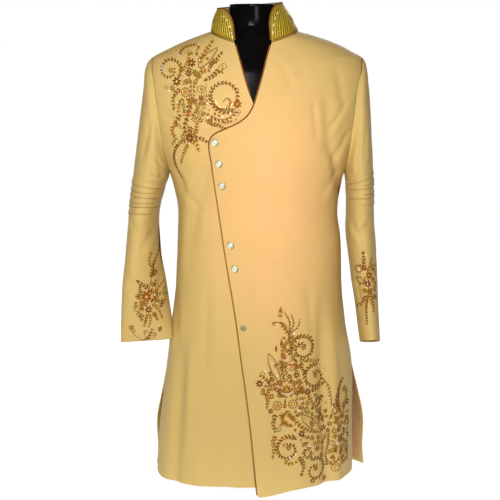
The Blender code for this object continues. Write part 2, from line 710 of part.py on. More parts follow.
def sleeve_normal(table, side, share, theta):
    """The sleeve's outward normal; at the armhole it lies in the seam's plane, so that
    the sleeve's wall stays clear of the body's."""
    step, turn = 0.004, 0.02
    after = sleeve_point(table, side, np.minimum(share + step, 1), theta)
    before = sleeve_point(table, side, np.maximum(share - step, 0), theta)
    across = sleeve_point(table, side, share, theta + turn) - sleeve_point(
        table, side, share, theta - turn
    )
    normal = unit(np.cross(across, after - before) * side)
    centre = (
        sleeve_point(table, side, share, theta) + sleeve_point(table, side, share, theta + math.pi)
    ) / 2
    radial = sleeve_point(table, side, share, theta) - centre
    radial[..., 0] = 0
    blend = smooth_step(share / 0.06)[..., None]
    return unit(unit(radial) * (1 - blend) + normal * blend)


def tucks(table, rows, share, theta):
    """How far the tucks stand out: each falls away above its lip and ends sharply at it."""
    ring_heights = np.array(rows, float)[:, 1]
    knots = np.linspace(0, 1, len(rows))
    height = smooth(share, knots, ring_heights)
    rise = np.zeros(np.broadcast(share, theta).shape)
    first, last = SEAM_ANGLES
    along = (theta - first) / (last - first)
    for lip, reach in table:
        above = (height - lip) / TUCK_LENGTH
        shape = np.where((above >= 0) & (above < 1), 1 - above, 0)
        inside = smooth_step((reach - along) / 0.10 + 0.5)
        rise = rise + TUCK_RISE * shape * np.where(reach >= 1, 1, inside)
    return rise


def share_at(rows, height):
    """The share along a sleeve at which its outer side passes this height."""
    knots = np.linspace(0, 1, 400)
    heights = smooth(knots, np.linspace(0, 1, len(rows)), np.array(rows, float)[:, 1])
    return np.interp(-np.asarray(height, float), -heights, knots)


def sleeve_shares(rows, tuck_rows):
    """The rows of a sleeve's grid: even ones, and two at each tuck's lip."""
    plain = np.array([
        0, 0.04, 0.075, 0.11, 0.155, 0.21, 0.27, 0.33, 0.39, 0.43, 0.65, 0.73, 0.81, 0.88,
        *CUFF_SHARES,
    ])
    lips = np.array(tuck_rows, float)[:, 0]
    fold_rows = share_at(rows, np.concatenate([lips + 0.0001, lips - 0.0012]))
    clear = [s for s in plain if np.abs(fold_rows - s).min() > 0.010]
    return np.sort(np.concatenate([clear, fold_rows]))


def sleeve_half(name, rows, side, shares, angles, tuck_rows):
    """Half a sleeve between two seams, as a wall; the tucks are raised on its outside."""
    share, theta = np.meshgrid(shares, angles, indexing="ij")
    point = sleeve_point(rows, side, share, theta)
    normal = sleeve_normal(rows, side, share, theta)
    rise = tucks(tuck_rows, rows, share, theta) if tuck_rows else np.zeros(share.shape)
    outer = point + normal * rise[..., None]
    return wall(name, outer, point - normal * CLOTH)


def sleeve_angles():
    """The columns of a sleeve's top half and of its under half, a seam's gap apart."""
    gap = 0.009
    first, last = SEAM_ANGLES
    top = np.linspace(first + gap, last - gap, 10)
    under = np.linspace(last + gap, first + 2 * math.pi - gap, 12)
    return top, under


def make_sleeve(names, rows, side, tuck_rows):
    """A sleeve: its front-facing top half with the tucks, and its under half."""
    over, below = sleeve_angles()
    plain = np.array([
        0, 0.04, 0.075, 0.11, 0.155, 0.21, 0.27, 0.33, 0.39, 0.45, 0.51, 0.57, 0.65, 0.73, 0.81,
        0.88, *CUFF_SHARES,
    ])
    top = sleeve_half(names[0], rows, side, sleeve_shares(rows, tuck_rows), over, tuck_rows)
    under = sleeve_half(names[1], rows, side, plain, below, None)
    return top, under


def make_cuff_lining(name, rows, side):
    """The lining that shows inside the cuff: a short tube on the sleeve's own grid."""
    shares = np.array(CUFF_SHARES[:-1])
    share, theta = np.meshgrid(shares, np.concatenate(sleeve_angles()), indexing="ij")
    point = sleeve_point(rows, side, share, theta)
    normal = sleeve_normal(rows, side, share, theta)
    inside = CLOTH + SEAM_GAP
    return wall(name, point - normal * inside, point - normal * (inside + LINING), closed=True)


def neckline(count):
    """Points of the neckline on the coat's surface, from the right front round the back
    to the left front, evenly spaced."""
    rise = np.linspace(0, 1, 60)
    height = NECK_FRONT + (NECK_SIDE - NECK_FRONT) * rise
    parts = []
    right = NECK_CENTRE + neck_half_at(height) - TOP_NECK_TRIM * (1 - rise)
    angle = section_angle(FRONT_SECTIONS, right, height)
    parts.append(section_point(FRONT_SECTIONS, -1, angle, height))
    turn = np.linspace(0, math.pi, 120)[1:-1]
    x = NECK_CENTRE + NECK_HALF * np.cos(turn)
    back_height = NECK_SIDE + (NECK_BACK - NECK_SIDE) * np.sin(turn) ** 2
    angle = section_angle(BACK_SECTIONS, x, back_height)
    parts.append(section_point(BACK_SECTIONS, 1, angle, back_height))
    left = NECK_CENTRE - neck_half_at(height) - UNDER_NECK_TRIM * (1 - rise)
    angle = section_angle(FRONT_SECTIONS, left, height)
    parts.append(section_point(FRONT_SECTIONS, -1, angle, height)[::-1])
    points = np.concatenate(parts)
    length = np.linalg.norm(np.diff(points, axis=0), axis=1)
    along = np.concatenate([[0], np.cumsum(length)])
    at = np.linspace(0, along[-1], count)
    return np.stack([np.interp(at, along, points[:, axis]) for axis in range(3)], axis=1), along[-1]


def collar_top(count):
    """Points of the collar's upper edge over the same stretch, before its corners."""
    start = math.asin(COLLAR_OPENING)
    turn = np.linspace(start, 2 * math.pi - start, count)
    x = COLLAR_TOP_CENTRE + COLLAR_TOP_HALF * np.sin(turn)
    ahead = np.cos(turn)
    y = -np.where(ahead > 0, COLLAR_TOP_FRONT, COLLAR_TOP_BACK) * ahead
    z = COLLAR_TOP + COLLAR_TILT * (x - COLLAR_TOP_CENTRE) + COLLAR_BACK_RISE * (1 - ahead) / 2
    return np.stack([x, y, z], axis=1)


def collar_share(along, length):
    """How high the band reaches here: its front corners are rounded off."""
    from_end = np.minimum(along, length - along)
    t = np.clip(from_end / COLLAR_CORNER, 0, 1)
    return COLLAR_END_HEIGHT + (1 - COLLAR_END_HEIGHT) * np.sqrt(1 - (1 - t) ** 2)


def collar_point(along_share, up):
    """A point of the stand collar: along it from right front to left front, and up from
    its seam; it bows out a little halfway up."""
    base, _ = neckline(COLLAR_COUNT)
    base = base + np.array([0, 0, SEAM_GAP * 3])
    top = collar_top(COLLAR_COUNT)
    fine = np.linspace(0, 1, COLLAR_COUNT)
    low = np.stack([np.interp(along_share, fine, base[:, axis]) for axis in range(3)], axis=-1)
    high = np.stack([np.interp(along_share, fine, top[:, axis]) for axis in range(3)], axis=-1)
    point = low * (1 - up)[..., None] + high * up[..., None]
    out = low - np.array([NECK_CENTRE, 0, 0])
    out[..., 2] = 0
    return point + unit(out) * (COLLAR_BOW * np.sin(math.pi * up))[..., None]


def collar_normal(along_share, up):
    """The collar's outward normal, kept level so that the seam below stays clear."""
    step = 0.004
    across = collar_point(np.minimum(along_share + step, 1), up) - collar_point(
        np.maximum(along_share - step, 0), up
    )
    level = np.stack([across[..., 1], -across[..., 0], np.zeros_like(up)], axis=-1)
    return unit(level) * -1


def collar_ends():
    """Shares along the collar: close together at its rounded ends."""
    near = 0.13 * (1 - np.cos(np.linspace(0, math.pi / 2, 7)))
    middle = np.linspace(0.13, 0.87, 14)[1:-1]
    return np.concatenate([near, middle, (1 - near)[::-1]])


def make_collar():
    """The stand collar with its two rounded front ends."""
    _, length = neckline(COLLAR_COUNT)
    shares = collar_ends()
    along, level = np.meshgrid(shares, np.linspace(0, 1, 5), indexing="ij")
    up = level * collar_share(along * length, length)
    outer = collar_point(along, up)
    return wall("collar", outer, outer - collar_normal(along, up) * CLOTH)


def panel_edge_points(edge_table, heights, side, drop):
    """Points just off a front's edge, halfway through its wall, for the piping."""
    x = lookup(edge_table, TOP_EDGE_COLUMNS, "x", heights)
    angle = section_angle(FRONT_SECTIONS, x, heights)
    point = section_point(FRONT_SECTIONS, -1, angle, heights)
    normal = section_normal(FRONT_SECTIONS, -1, angle, heights)
    rise = folds(FRONT_FOLDS, x, heights) - drop(x, heights) - CLOTH / 2
    point = point + normal * rise[:, None]
    tangent = unit(np.gradient(point, axis=0))
    away = unit(np.cross(normal, tangent)) * side
    return point + away * (PIPING_RADIUS + SEAM_GAP)


def make_front_piping():
    """The cord sewn along the edge of the top front."""
    inner = PANEL_HEIGHTS[(PANEL_HEIGHTS > HEM_LOW) & (PANEL_HEIGHTS < NECK_FRONT)]
    heights = np.concatenate([[HEM_LOW + 0.004], inner, [NECK_FRONT - 0.004]])
    points = panel_edge_points(TOP_EDGE, heights, 1, no_drop)
    return rod("piping_front", points, PIPING_RADIUS)


def make_neck_piping():
    """The cord along the under front's neckline, down to where the fronts cross."""
    inner = PANEL_HEIGHTS[(PANEL_HEIGHTS > 0.918) & (PANEL_HEIGHTS < NECK_FRONT)]
    heights = np.concatenate([[0.906], inner, [NECK_FRONT - 0.004]])
    points = panel_edge_points(UNDER_EDGE, heights, -1, under_drop)
    return rod("piping_neck", points, PIPING_RADIUS)


def make_collar_piping():
    """The cord round the collar's front ends and along its upper edge."""
    _, length = neckline(COLLAR_COUNT)
    shares = collar_ends()
    edge = collar_point(shares, collar_share(shares * length, length))
    start = collar_point(np.zeros(2), np.array([0.06, 0.24]))
    end = collar_point(np.ones(2), np.array([0.24, 0.06]))
    points = np.concatenate([start, edge, end])
    at = np.concatenate([np.zeros(2), shares, np.ones(2)])
    normal = collar_normal(at, np.full(len(at), 0.5))
    middle = points - normal * CLOTH / 2
    tangent = unit(np.gradient(middle, axis=0))
    away = unit(np.cross(normal, tangent))
    away = away * np.sign(np.sum(away * np.array([0, 0, 1]), axis=1, keepdims=True) + 1e-6)
    away[:2], away[-2:] = towards_gap(middle[:2], -1), towards_gap(middle[-2:], 1)
    away[2] = unit(away[1] + away[3])
    away[-3] = unit(away[-2] + away[-4])
    return rod("piping_collar", middle + away * (PIPING_RADIUS + SEAM_GAP), PIPING_RADIUS)


def towards_gap(points, sign):
    """The level direction from the collar's front end into the open neck."""
    return np.repeat(unit(np.array([[sign * 1.0, -0.45, 0.0]])), len(points), axis=0)


def make_button(index, x, height, radius, shape):
    """A turned button seated on the top front, its axis along the cloth's normal."""
    z, at = np.array([height]), np.array([x])
    angle = section_angle(FRONT_SECTIONS, at, z)
    normal = section_normal(FRONT_SECTIONS, -1, angle, z)[0]
    rise = folds(FRONT_FOLDS, at, z)[0] + SEAM_GAP
    place = section_point(FRONT_SECTIONS, -1, angle, z)[0] + normal * rise
    profile = bpy.data.meshes.new(f"button_{index}")
    points = [(share * radius, 0, level) for share, level in reversed(shape)]
    profile.from_pydata(points, [(i, i + 1) for i in range(len(points) - 1)], [])
    button = bpy.data.objects.new(f"button_{index}", profile)
    screw = button.modifiers.new("turn", "SCREW")
    screw.steps = screw.render_steps = 12
    screw.use_merge_vertices = True
    screw.merge_threshold = 0.00005
    screw.use_normal_calculate = True
    button.location = place
    button.rotation_mode = "QUATERNION"
    button.rotation_quaternion = direction_quaternion(normal)
    return button


def direction_quaternion(direction):
    """The turn that takes +Z to this direction."""
    x, y, z = (float(value) for value in unit(np.asarray(direction)))
    axis = np.array([-y, x, 0.0])
    angle = math.acos(max(-1.0, min(1.0, z)))
    axis = unit(axis) * math.sin(angle / 2)
    return (math.cos(angle / 2), axis[0], axis[1], axis[2])


# A profile from the axis at the top, down the outer side, to the axis below, as shares
# of the radius and heights.
DOMED_BUTTON = (
    (0.0, 0.0046), (0.45, 0.0042), (0.80, 0.0031), (1.0, 0.0014), (0.92, 0.0), (0.0, 0.0),
)
FLAT_BUTTON = (
    (0.0, 0.0018), (0.60, 0.0018), (0.74, 0.0026), (1.0, 0.0014), (0.95, 0.0), (0.0, 0.0),
)


def ring_faces(rings, around):
    """Faces that join stacked rings of points into a solid with flat ends."""
    faces = []
    for row in range(rings - 1):
        for column in range(around):
            after = (column + 1) % around
            faces.append([
                row * around + column, row * around + after,
                (row + 1) * around + after, (row + 1) * around + column,
            ])
    faces.append(list(range(around))[::-1])
    faces.append(list(range((rings - 1) * around, rings * around)))
    return faces


def make_form_torso():
    """The form: torso and neck in one smooth body, flat at the armholes and the base."""
    heights = np.array([
        FORM_BOTTOM, 0.358, 0.428, 0.498, 0.568, 0.638, 0.698, 0.758, 0.818, 0.868, 0.908, 0.938, 0.958, 0.973,
        0.984, 0.995, 1.006, 1.017, 1.028, 1.038, 1.048, 1.060, 1.076, FORM_TOP,
    ])
    around = 32
    theta = np.linspace(0, 2 * math.pi, around, endpoint=False)
    rings = []
    for height in heights:
        tall = np.full(around, height)
        ahead = np.cos(theta) >= 0
        turned = np.where(np.sin(theta) >= 0, math.pi - theta, -math.pi - theta)
        turned = np.where(theta > math.pi, math.pi - theta, turned)
        front = section_point(FRONT_SECTIONS, -1, theta, tall)
        back = section_point(BACK_SECTIONS, 1, turned, tall)
        normal = np.where(
            ahead[:, None],
            section_normal(FRONT_SECTIONS, -1, theta, tall),
            section_normal(BACK_SECTIONS, 1, turned, tall),
        )
        inset = lookup(FORM, FORM_COLUMNS, "inset", height)
        ring = np.where(ahead[:, None], front, back) - normal * inset
        plate = lookup(FORM, FORM_COLUMNS, "plate", height)
        ring[:, 0] = np.clip(ring[:, 0], -plate - 0.002, plate - 0.002)
        rings.append(ring)
    rings[0][:, 2] = FORM_BOTTOM
    rings[0][:, :2] *= 0.94
    rings[-1][:, 2] = FORM_TOP
    mesh = bpy.data.meshes.new("form_torso")
    mesh.from_pydata(np.concatenate(rings), [], ring_faces(len(rings), around))
    return bpy.data.objects.new("form_torso", face_outwards(mesh))


def make_form_cap():
    """The cap that closes the form's neck, slightly domed."""
    rim = section(FRONT_SECTIONS, np.array([FORM_TOP]))
    half = float((rim["right"] - rim["left"])[0]) / 2 - 0.003
    bpy.ops.mesh.primitive_cylinder_add(vertices=24, radius=half, depth=CAP_THICKNESS)
    cap = bpy.context.object
    cap.name = "form_neck_cap"
    centre = float((rim["right"] + rim["left"])[0]) / 2
    cap.location = (centre, 0, FORM_TOP + SEAT_GAP + CAP_THICKNESS / 2)
    bevel = cap.modifiers.new("round", "BEVEL")
    bevel.width = 0.0025
    bevel.segments = 1
    bevel.limit_method = "ANGLE"
    return cap


def make_pole():
    """The tube that carries the form, standing in the base's boss."""
    low, high = BOSS_HEIGHT + SEAT_GAP, FORM_BOTTOM - SEAT_GAP
    bpy.ops.mesh.primitive_cylinder_add(vertices=20, radius=POLE_RADIUS, depth=high - low)
    pole = bpy.context.object
    pole.name = "form_pole"
    pole.location = (0, 0, (low + high) / 2)
    return pole


def make_base():
    """The oval weighted plate that stands on the floor, with a round boss for the pole."""
    outline = (
        (BASE_HALF_WIDTH, 0.0), (BASE_HALF_WIDTH, BASE_THICKNESS - 0.003),
        (BASE_HALF_WIDTH - 0.004, BASE_THICKNESS), (BOSS_RADIUS + 0.005, BASE_THICKNESS),
        (BOSS_RADIUS, BASE_THICKNESS + 0.003), (BOSS_RADIUS, BOSS_HEIGHT - 0.003),
        (BOSS_RADIUS * 0.85, BOSS_HEIGHT),
    )
    around = 28
    turn = np.linspace(0, 2 * math.pi, around, endpoint=False)
    rings = []
    for half_width, height in outline:
        in_plate = half_width > BOSS_RADIUS + 0.01
        depth = BASE_HALF_DEPTH - (BASE_HALF_WIDTH - half_width) if in_plate else half_width
        rings.append(np.stack(
            [half_width * np.cos(turn), depth * np.sin(turn), np.full(around, height)], axis=1
        ))
    mesh = bpy.data.meshes.new("form_base")
    mesh.from_pydata(np.concatenate(rings), [], ring_faces(len(rings), around))
    return bpy.data.objects.new("form_base", face_outwards(mesh))


def main():
    """Builds every piece of the coat and of its form."""
    clear_scene()
    coat = bpy.data.collections.new("sherwani_coat")
    bpy.context.scene.collection.children.link(coat)
    silk = new_material("raw_silk", (0.72, 0.52, 0.26), 0.55)
    lining = new_material("satin_lining", (0.55, 0.30, 0.16), 0.40)
    piping = new_material("piping_cord", (0.26, 0.13, 0.03), 0.50)
    pearl = new_material("pearl_button", (0.80, 0.78, 0.70), 0.15)
    press = new_material("press_button", (0.34, 0.32, 0.20), 0.35, 0.6)
    collar_gold = new_material("collar_embroidery", (0.55, 0.40, 0.10), 0.35, 0.5)
    gloss = new_material("form_gloss", (0.012, 0.012, 0.014), 0.18)
    steel = new_material("stand_steel", (0.05, 0.05, 0.05), 0.35, 0.8)

    for cloth in (make_top_front(), make_under_front(), make_back()):
        add(cloth, silk, coat)
    for half in make_sleeve(("sleeve_right_top", "sleeve_right_under"), LEFT_SLEEVE, -1, LEFT_TUCKS):
        add(half, silk, coat)
    for half in make_sleeve(("sleeve_left_top", "sleeve_left_under"), RIGHT_SLEEVE, 1, RIGHT_TUCKS):
        add(half, silk, coat)
    add(make_collar(), collar_gold, coat)
    add(make_vent_lining("lining_vent_right", -1), lining, coat)
    add(make_vent_lining("lining_vent_left", 1), lining, coat)
    add(make_cuff_lining("lining_cuff_right", LEFT_SLEEVE, -1), lining, coat)
    add(make_cuff_lining("lining_cuff_left", RIGHT_SLEEVE, 1), lining, coat)
    for cord in (make_front_piping(), make_neck_piping(), make_collar_piping()):
        add(cord, piping, coat)
    for index, (x, height) in enumerate(BUTTONS[:-1], start=1):
        add(make_button(index, x, height, BUTTON_RADIUS, DOMED_BUTTON), pearl, coat)
    x, height = BUTTONS[-1]
    add(make_button(len(BUTTONS), x, height, PRESS_BUTTON_RADIUS, FLAT_BUTTON), press, coat)
    add(make_form_torso(), gloss, coat)
    add(make_form_cap(), gloss, coat)
    add(make_pole(), steel, coat)
    add(make_base(), steel, coat)


main()
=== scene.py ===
"""The looks of a knee-length sherwani coat on its limbless dress form.

Metres, +Z up, +X to the viewer's right, and the front faces -Y. Left and right in the
tables are the viewer's, and the pieces are named for the wearer. Every cloth piece is a
fine shell on the form of its solid: horizontal sections of the body, rings round each
sleeve, and the main creases. The embroidery is laid on the cloth by the same formulas.
"""

import logging
import math
from dataclasses import dataclass, field
from enum import Enum
from typing import Any, Callable, ClassVar, Sequence

import bpy
import numpy as np
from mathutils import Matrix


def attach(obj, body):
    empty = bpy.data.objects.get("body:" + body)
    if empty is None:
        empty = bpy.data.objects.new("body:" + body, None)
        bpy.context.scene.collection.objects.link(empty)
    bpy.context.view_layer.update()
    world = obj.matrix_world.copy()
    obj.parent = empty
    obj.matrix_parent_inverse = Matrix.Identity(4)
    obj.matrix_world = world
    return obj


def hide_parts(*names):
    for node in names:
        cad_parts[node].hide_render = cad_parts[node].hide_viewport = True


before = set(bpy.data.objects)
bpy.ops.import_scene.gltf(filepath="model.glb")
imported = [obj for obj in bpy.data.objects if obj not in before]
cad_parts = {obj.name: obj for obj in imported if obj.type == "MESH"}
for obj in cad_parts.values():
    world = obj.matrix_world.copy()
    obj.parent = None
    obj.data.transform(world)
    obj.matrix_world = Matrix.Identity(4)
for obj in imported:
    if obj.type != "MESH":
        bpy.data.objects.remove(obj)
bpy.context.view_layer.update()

Array = np.ndarray
Colour = tuple[float, float, float]
log = logging.getLogger("sherwani")

CLOTH = 0.002
SEAM_GAP = 0.0004
LINING = 0.001
FOLD_DEPTH = 1.15
CREASE_DEPTH = 1.5
UNEVENNESS = 0.00035
PIPING_RADIUS = 0.0014
COLLAR_HEIGHT = 0.055
NECK_CENTRE = -0.006
NECK_HALF = 0.095
TOP_NECK_TRIM = 0.002
UNDER_NECK_TRIM = 0.0055
NECK_FRONT = 1.016
NECK_SIDE = 1.042
NECK_BACK = 1.054
ARMPIT = 0.723
SHOULDER_END = 0.9835
HEM_LOW = 0.006
VENT_TOP = 0.258
SECTION_COLUMNS = ("height", "left", "right", "depth", "edge_y", "square_left", "square_right")
EDGE_COLUMNS = ("height", "x")
CREASE_COLUMNS = ("start_a", "start_b", "end_a", "end_b", "width", "rise")


def smooth(at: Array, knots: Array, values: Array) -> Array:
    """A cubic through the knots that never overshoots: each inner slope is the harmonic
    mean of the slopes beside it, or zero where the values turn.

    Args:
        at: where to read it.
        knots: rising places of the values.
        values: the values there.

    Returns:
        The values read at those places.
    """
    at = np.clip(at, knots[0], knots[-1])
    step = np.diff(knots)
    slope = np.diff(values) / step
    tangent = np.concatenate([slope[:1], np.zeros(len(slope) - 1), slope[-1:]])
    before, after = slope[:-1], slope[1:]
    same = before * after > 0
    tangent[1:-1][same] = 2 * (before * after)[same] / (before + after)[same]
    i = np.clip(np.searchsorted(knots, at, side="right") - 1, 0, len(step) - 1)
    t = (at - knots[i]) / step[i]
    start, end = tangent[i] * step[i], tangent[i + 1] * step[i]
    return (
        values[i] * (1 + 2 * t) * (1 - t) ** 2
        + start * t * (1 - t) ** 2
        + values[i + 1] * t * t * (3 - 2 * t)
        + end * t * t * (t - 1)
    )


def smooth_step(value: Array) -> Array:
    """0 below 0, 1 above 1, and 3t^2 - 2t^3 between."""
    t = np.clip(value, 0, 1)
    return t * t * (3 - 2 * t)


def unit(vectors: Array) -> Array:
    """The vectors scaled to length 1."""
    return vectors / np.maximum(np.linalg.norm(vectors, axis=-1, keepdims=True), 1e-12)


def refine(rows: Array, times: int) -> Array:
    """The rows with each step between them parted evenly into so many."""
    fine = np.linspace(0, len(rows) - 1, (len(rows) - 1) * times + 1)
    return np.interp(fine, np.arange(len(rows)), rows)


def path_length(points: Array) -> Array:
    """The length along the points, up to each of them, on the next to last axis."""
    steps = np.linalg.norm(np.diff(points, axis=-2), axis=-1)
    return np.concatenate([np.zeros(steps.shape[:-1] + (1,)), np.cumsum(steps, axis=-1)], axis=-1)


def between(at: Array, knots: Array, points: Array) -> Array:
    """The points of a path, read at these places between its knots."""
    return np.stack([np.interp(at, knots, column) for column in points.T], axis=-1)


def evenly(points: Array, spacing: float) -> Array:
    """The path with points an even distance apart.

    Args:
        points: a path, one point a row.
        spacing: about how far apart the new points lie.

    Returns:
        The new points, read by their length along the path.
    """
    along = path_length(points)
    count = max(int(round(along[-1] / spacing)), 2) + 1
    return between(np.linspace(0, along[-1], count), along, points)


def rounded(points: Sequence[Sequence[float]], spacing: float) -> Array:
    """A smooth curve through a few points: a Catmull-Rom spline, evenly spaced.

    Args:
        points: the points that the curve passes.
        spacing: the distance between the points returned.

    Returns:
        The points of the curve.
    """
    p = np.asarray(points, float)
    p = np.concatenate([[2 * p[0] - p[1]], p, [2 * p[-1] - p[-2]]])
    t = np.linspace(0, 1, 12, endpoint=False)[None, :, None]
    a, b, c, d = (p[i:len(p) - 3 + i][:, None] for i in range(4))
    curve = (2 * b + (c - a) * t + (2 * a - 5 * b + 4 * c - d) * t ** 2
             + (3 * b - a - 3 * c + d) * t ** 3) / 2
    curve = np.concatenate([curve.reshape(-1, p.shape[1]), p[-2:-1]])
    return evenly(curve, spacing)


@dataclass(frozen=True)
class Table:
    """A short table that is read smoothly by its first column."""

    columns: tuple[str, ...]
    rows: tuple[tuple[float, ...], ...]

    def column(self, name: str) -> Array:
        """The named column as an array."""
        return np.array(self.rows, float)[:, self.columns.index(name)]

    def read(self, name: str, at: Array) -> Array:
        """The named column at these values of the first one."""
        return smooth(np.asarray(at, float), self.column(self.columns[0]), self.column(name))


def bell_folds(table: Table, x: Array, height: Array) -> Array:
    """The large folds of a panel: a bell across each fold's line, faded in over its first
    quarter and out over its last.

    Args:
        table: the folds' lines, half widths and rises.
        x: where on the panel, seen from the front.
        height: how high.

    Returns:
        How far the cloth stands out there.
    """
    moved = np.zeros(np.broadcast(x, height).shape)
    for top_x, top, bottom_x, bottom, width, rise in table.rows:
        share = (top - height) / (top - bottom)
        line = top_x + (bottom_x - top_x) * share
        fade = smooth_step(share * 4) * smooth_step((1 - share) * 4)
        moved = moved + FOLD_DEPTH * rise * fade * np.exp(-(((x - line) / width) ** 2))
    return moved


def creases(table: Table, a: Array, b: Array) -> Array:
    """The smaller creases of a piece. Each is a trough (or ridge) along a straight line,
    a bell across it with a softer opposite swell on one flank, and tapered at both ends.

    Args:
        table: each crease's ends, half width and rise.
        a: the first coordinate on the piece.
        b: the second coordinate.

    Returns:
        How far the cloth stands out there.
    """
    moved = np.zeros(np.broadcast(a, b).shape)
    for start_a, start_b, end_a, end_b, width, rise in table.rows:
        run = np.array([end_a - start_a, end_b - start_b])
        length = float(np.hypot(*run))
        along_a, along_b = run / length
        along = ((a - start_a) * along_a + (b - start_b) * along_b) / length
        across = ((b - start_b) * along_a - (a - start_a) * along_b) / width
        taper = smooth_step(along * 3.2) * smooth_step((1 - along) * 3.2)
        bell = np.exp(-across ** 2) - 0.42 * np.exp(-((across - 1.8) / 1.4) ** 2)
        moved = moved + CREASE_DEPTH * rise * taper * bell
    return moved


def uneven(a: Array, b: Array, scale: float) -> Array:
    """A gentle unevenness between -1 and 1: four sine waves in unlike directions."""
    u, v = a / scale, b / scale
    waves = (
        np.sin(1.7 * u + 0.6 * v + 0.4) + np.sin(-0.8 * u + 1.3 * v + 2.1)
        + np.sin(2.9 * u - 1.9 * v + 4.0) + np.sin(0.5 * u + 3.1 * v + 5.2)
    )
    return waves / 4


def signed_volume(points: Array, faces: Sequence[Array]) -> float:
    """The volume inside the faces, below zero where they face inwards."""
    total = 0.0
    for group in faces:
        a = points[group[:, 0]]
        for i in range(1, group.shape[1] - 1):
            total += float(np.sum(a * np.cross(points[group[:, i]], points[group[:, i + 1]])))
    return total / 6


def build_mesh(
    name: str,
    points: Array,
    faces: Sequence[Array],
    uv: Array | None = None,
    tint: Array | None = None,
    slots: Array | None = None,
    sharp: float = 50.0,
) -> bpy.types.Object:
    """A mesh object at the origin from whole arrays, turned so that it faces outwards.

    Args:
        name: the piece's name.
        points: its points, one a row.
        faces: arrays of triangles and of quads, as point numbers.
        uv: two coordinates for each point.
        tint: a colour for each point, kept as the attribute tint.
        slots: the material slot of each face.
        sharp: edges that turn more than this many degrees stay crisp.

    Returns:
        The object, linked to the scene.
    """
    if signed_volume(points, faces) < 0:
        faces = [group[:, ::-1] for group in faces]
    sizes = np.concatenate([np.full(len(group), group.shape[1]) for group in faces])
    corners = np.concatenate([group.ravel() for group in faces]).astype(np.int32)
    mesh = bpy.data.meshes.new(name)
    mesh.vertices.add(len(points))
    mesh.vertices.foreach_set("co", points.astype(np.float32).ravel())
    mesh.loops.add(len(corners))
    mesh.loops.foreach_set("vertex_index", corners)
    mesh.polygons.add(len(sizes))
    mesh.polygons.foreach_set("loop_start", np.concatenate([[0], np.cumsum(sizes)[:-1]]).astype(np.int32))
    if slots is not None:
        mesh.polygons.foreach_set("material_index", slots.astype(np.int32))
    mesh.update(calc_edges=True)
    if uv is not None:
        layer = mesh.uv_layers.new(name="cloth")
        layer.data.foreach_set("uv", uv[corners].astype(np.float32).ravel())
    if tint is not None:
        colours = mesh.color_attributes.new("tint", "FLOAT_COLOR", "POINT")
        rgba = np.concatenate([tint, np.ones((len(tint), 1))], axis=1)
        colours.data.foreach_set("color", rgba.astype(np.float32).ravel())
    mesh.shade_smooth()
    mesh.set_sharp_from_angle(angle=math.radians(sharp))
    piece = bpy.data.objects.new(name, mesh)
    bpy.context.scene.collection.objects.link(piece)
    return piece


def grid_faces(rows: int, columns: int, closed: bool = False, first: int = 0) -> Array:
    """The quads of a grid of points.

    Args:
        rows: how many rows of points.
        columns: how many points a row.
        closed: the last column joins the first.
        first: the number of the grid's first point.

    Returns:
        One quad a row, as point numbers.
    """
    across = columns if closed else columns - 1
    r, c = np.meshgrid(np.arange(rows - 1), np.arange(across), indexing="ij")
    after = (c + 1) % columns
    quads = [r * columns + c, r * columns + after, (r + 1) * columns + after, (r + 1) * columns + c]
    return np.stack(quads, axis=-1).reshape(-1, 4) + first


def end_fans(rows: int, columns: int) -> list[Array]:
    """The triangles that close a tube of such rings: its first end is drawn to the point
    numbered after the rings, and its last end to the one after that."""
    number = np.arange(columns)
    after = (number + 1) % columns
    last = (rows - 1) * columns
    low = np.stack([np.full(columns, rows * columns), after, number], axis=-1)
    high = np.stack([number + last, after + last, np.full(columns, rows * columns + 1)], axis=-1)
    return [low, high]


def shell(name: str, outer: Array, inner: Array, closed: bool = False,
          shade: Array | None = None) -> bpy.types.Object:
    """A closed cloth shell between two grids of points, with a rim round its edges.

    Args:
        name: the piece's name.
        outer: the grid of outer points, rows by columns.
        inner: the grid of inner points.
        closed: the shell is a tube whose last column joins its first.
        shade: how deep in shade each outer point lies, kept as the attribute tint.

    Returns:
        The piece. Its UV map is in metres: across the cloth, and up along it.
    """
    rows, columns = outer.shape[:2]
    layer = rows * columns
    face_out = grid_faces(rows, columns, closed)
    face_in = grid_faces(rows, columns, closed, layer)[:, ::-1]
    number = np.arange(layer).reshape(rows, columns)
    after = np.roll(number, -1, axis=1) if closed else number[:, 1:]
    before = number if closed else number[:, :-1]
    rims = [
        np.stack([after[0], before[0], before[0] + layer, after[0] + layer], axis=-1),
        np.stack([before[-1], after[-1], after[-1] + layer, before[-1] + layer], axis=-1),
    ]
    if not closed:
        low, high = number[:-1], number[1:]
        rims.append(np.stack([low[:, 0], high[:, 0], high[:, 0] + layer, low[:, 0] + layer], axis=-1))
        rims.append(np.stack([high[:, -1], low[:, -1], low[:, -1] + layer, high[:, -1] + layer], axis=-1))
    points = np.concatenate([outer.reshape(-1, 3), inner.reshape(-1, 3)])
    across = path_length(outer)
    middle = across - across[:, -1:] / 2
    up = path_length(outer.transpose(1, 0, 2)).T
    uv = np.stack([middle, up], axis=-1).reshape(-1, 2)
    tint = None
    if shade is not None:
        tint = np.repeat(np.concatenate([shade.ravel(), np.zeros(layer)])[:, None], 3, axis=1)
    return build_mesh(name, points, [face_out, face_in, *rims], uv=np.concatenate([uv, uv]), tint=tint)


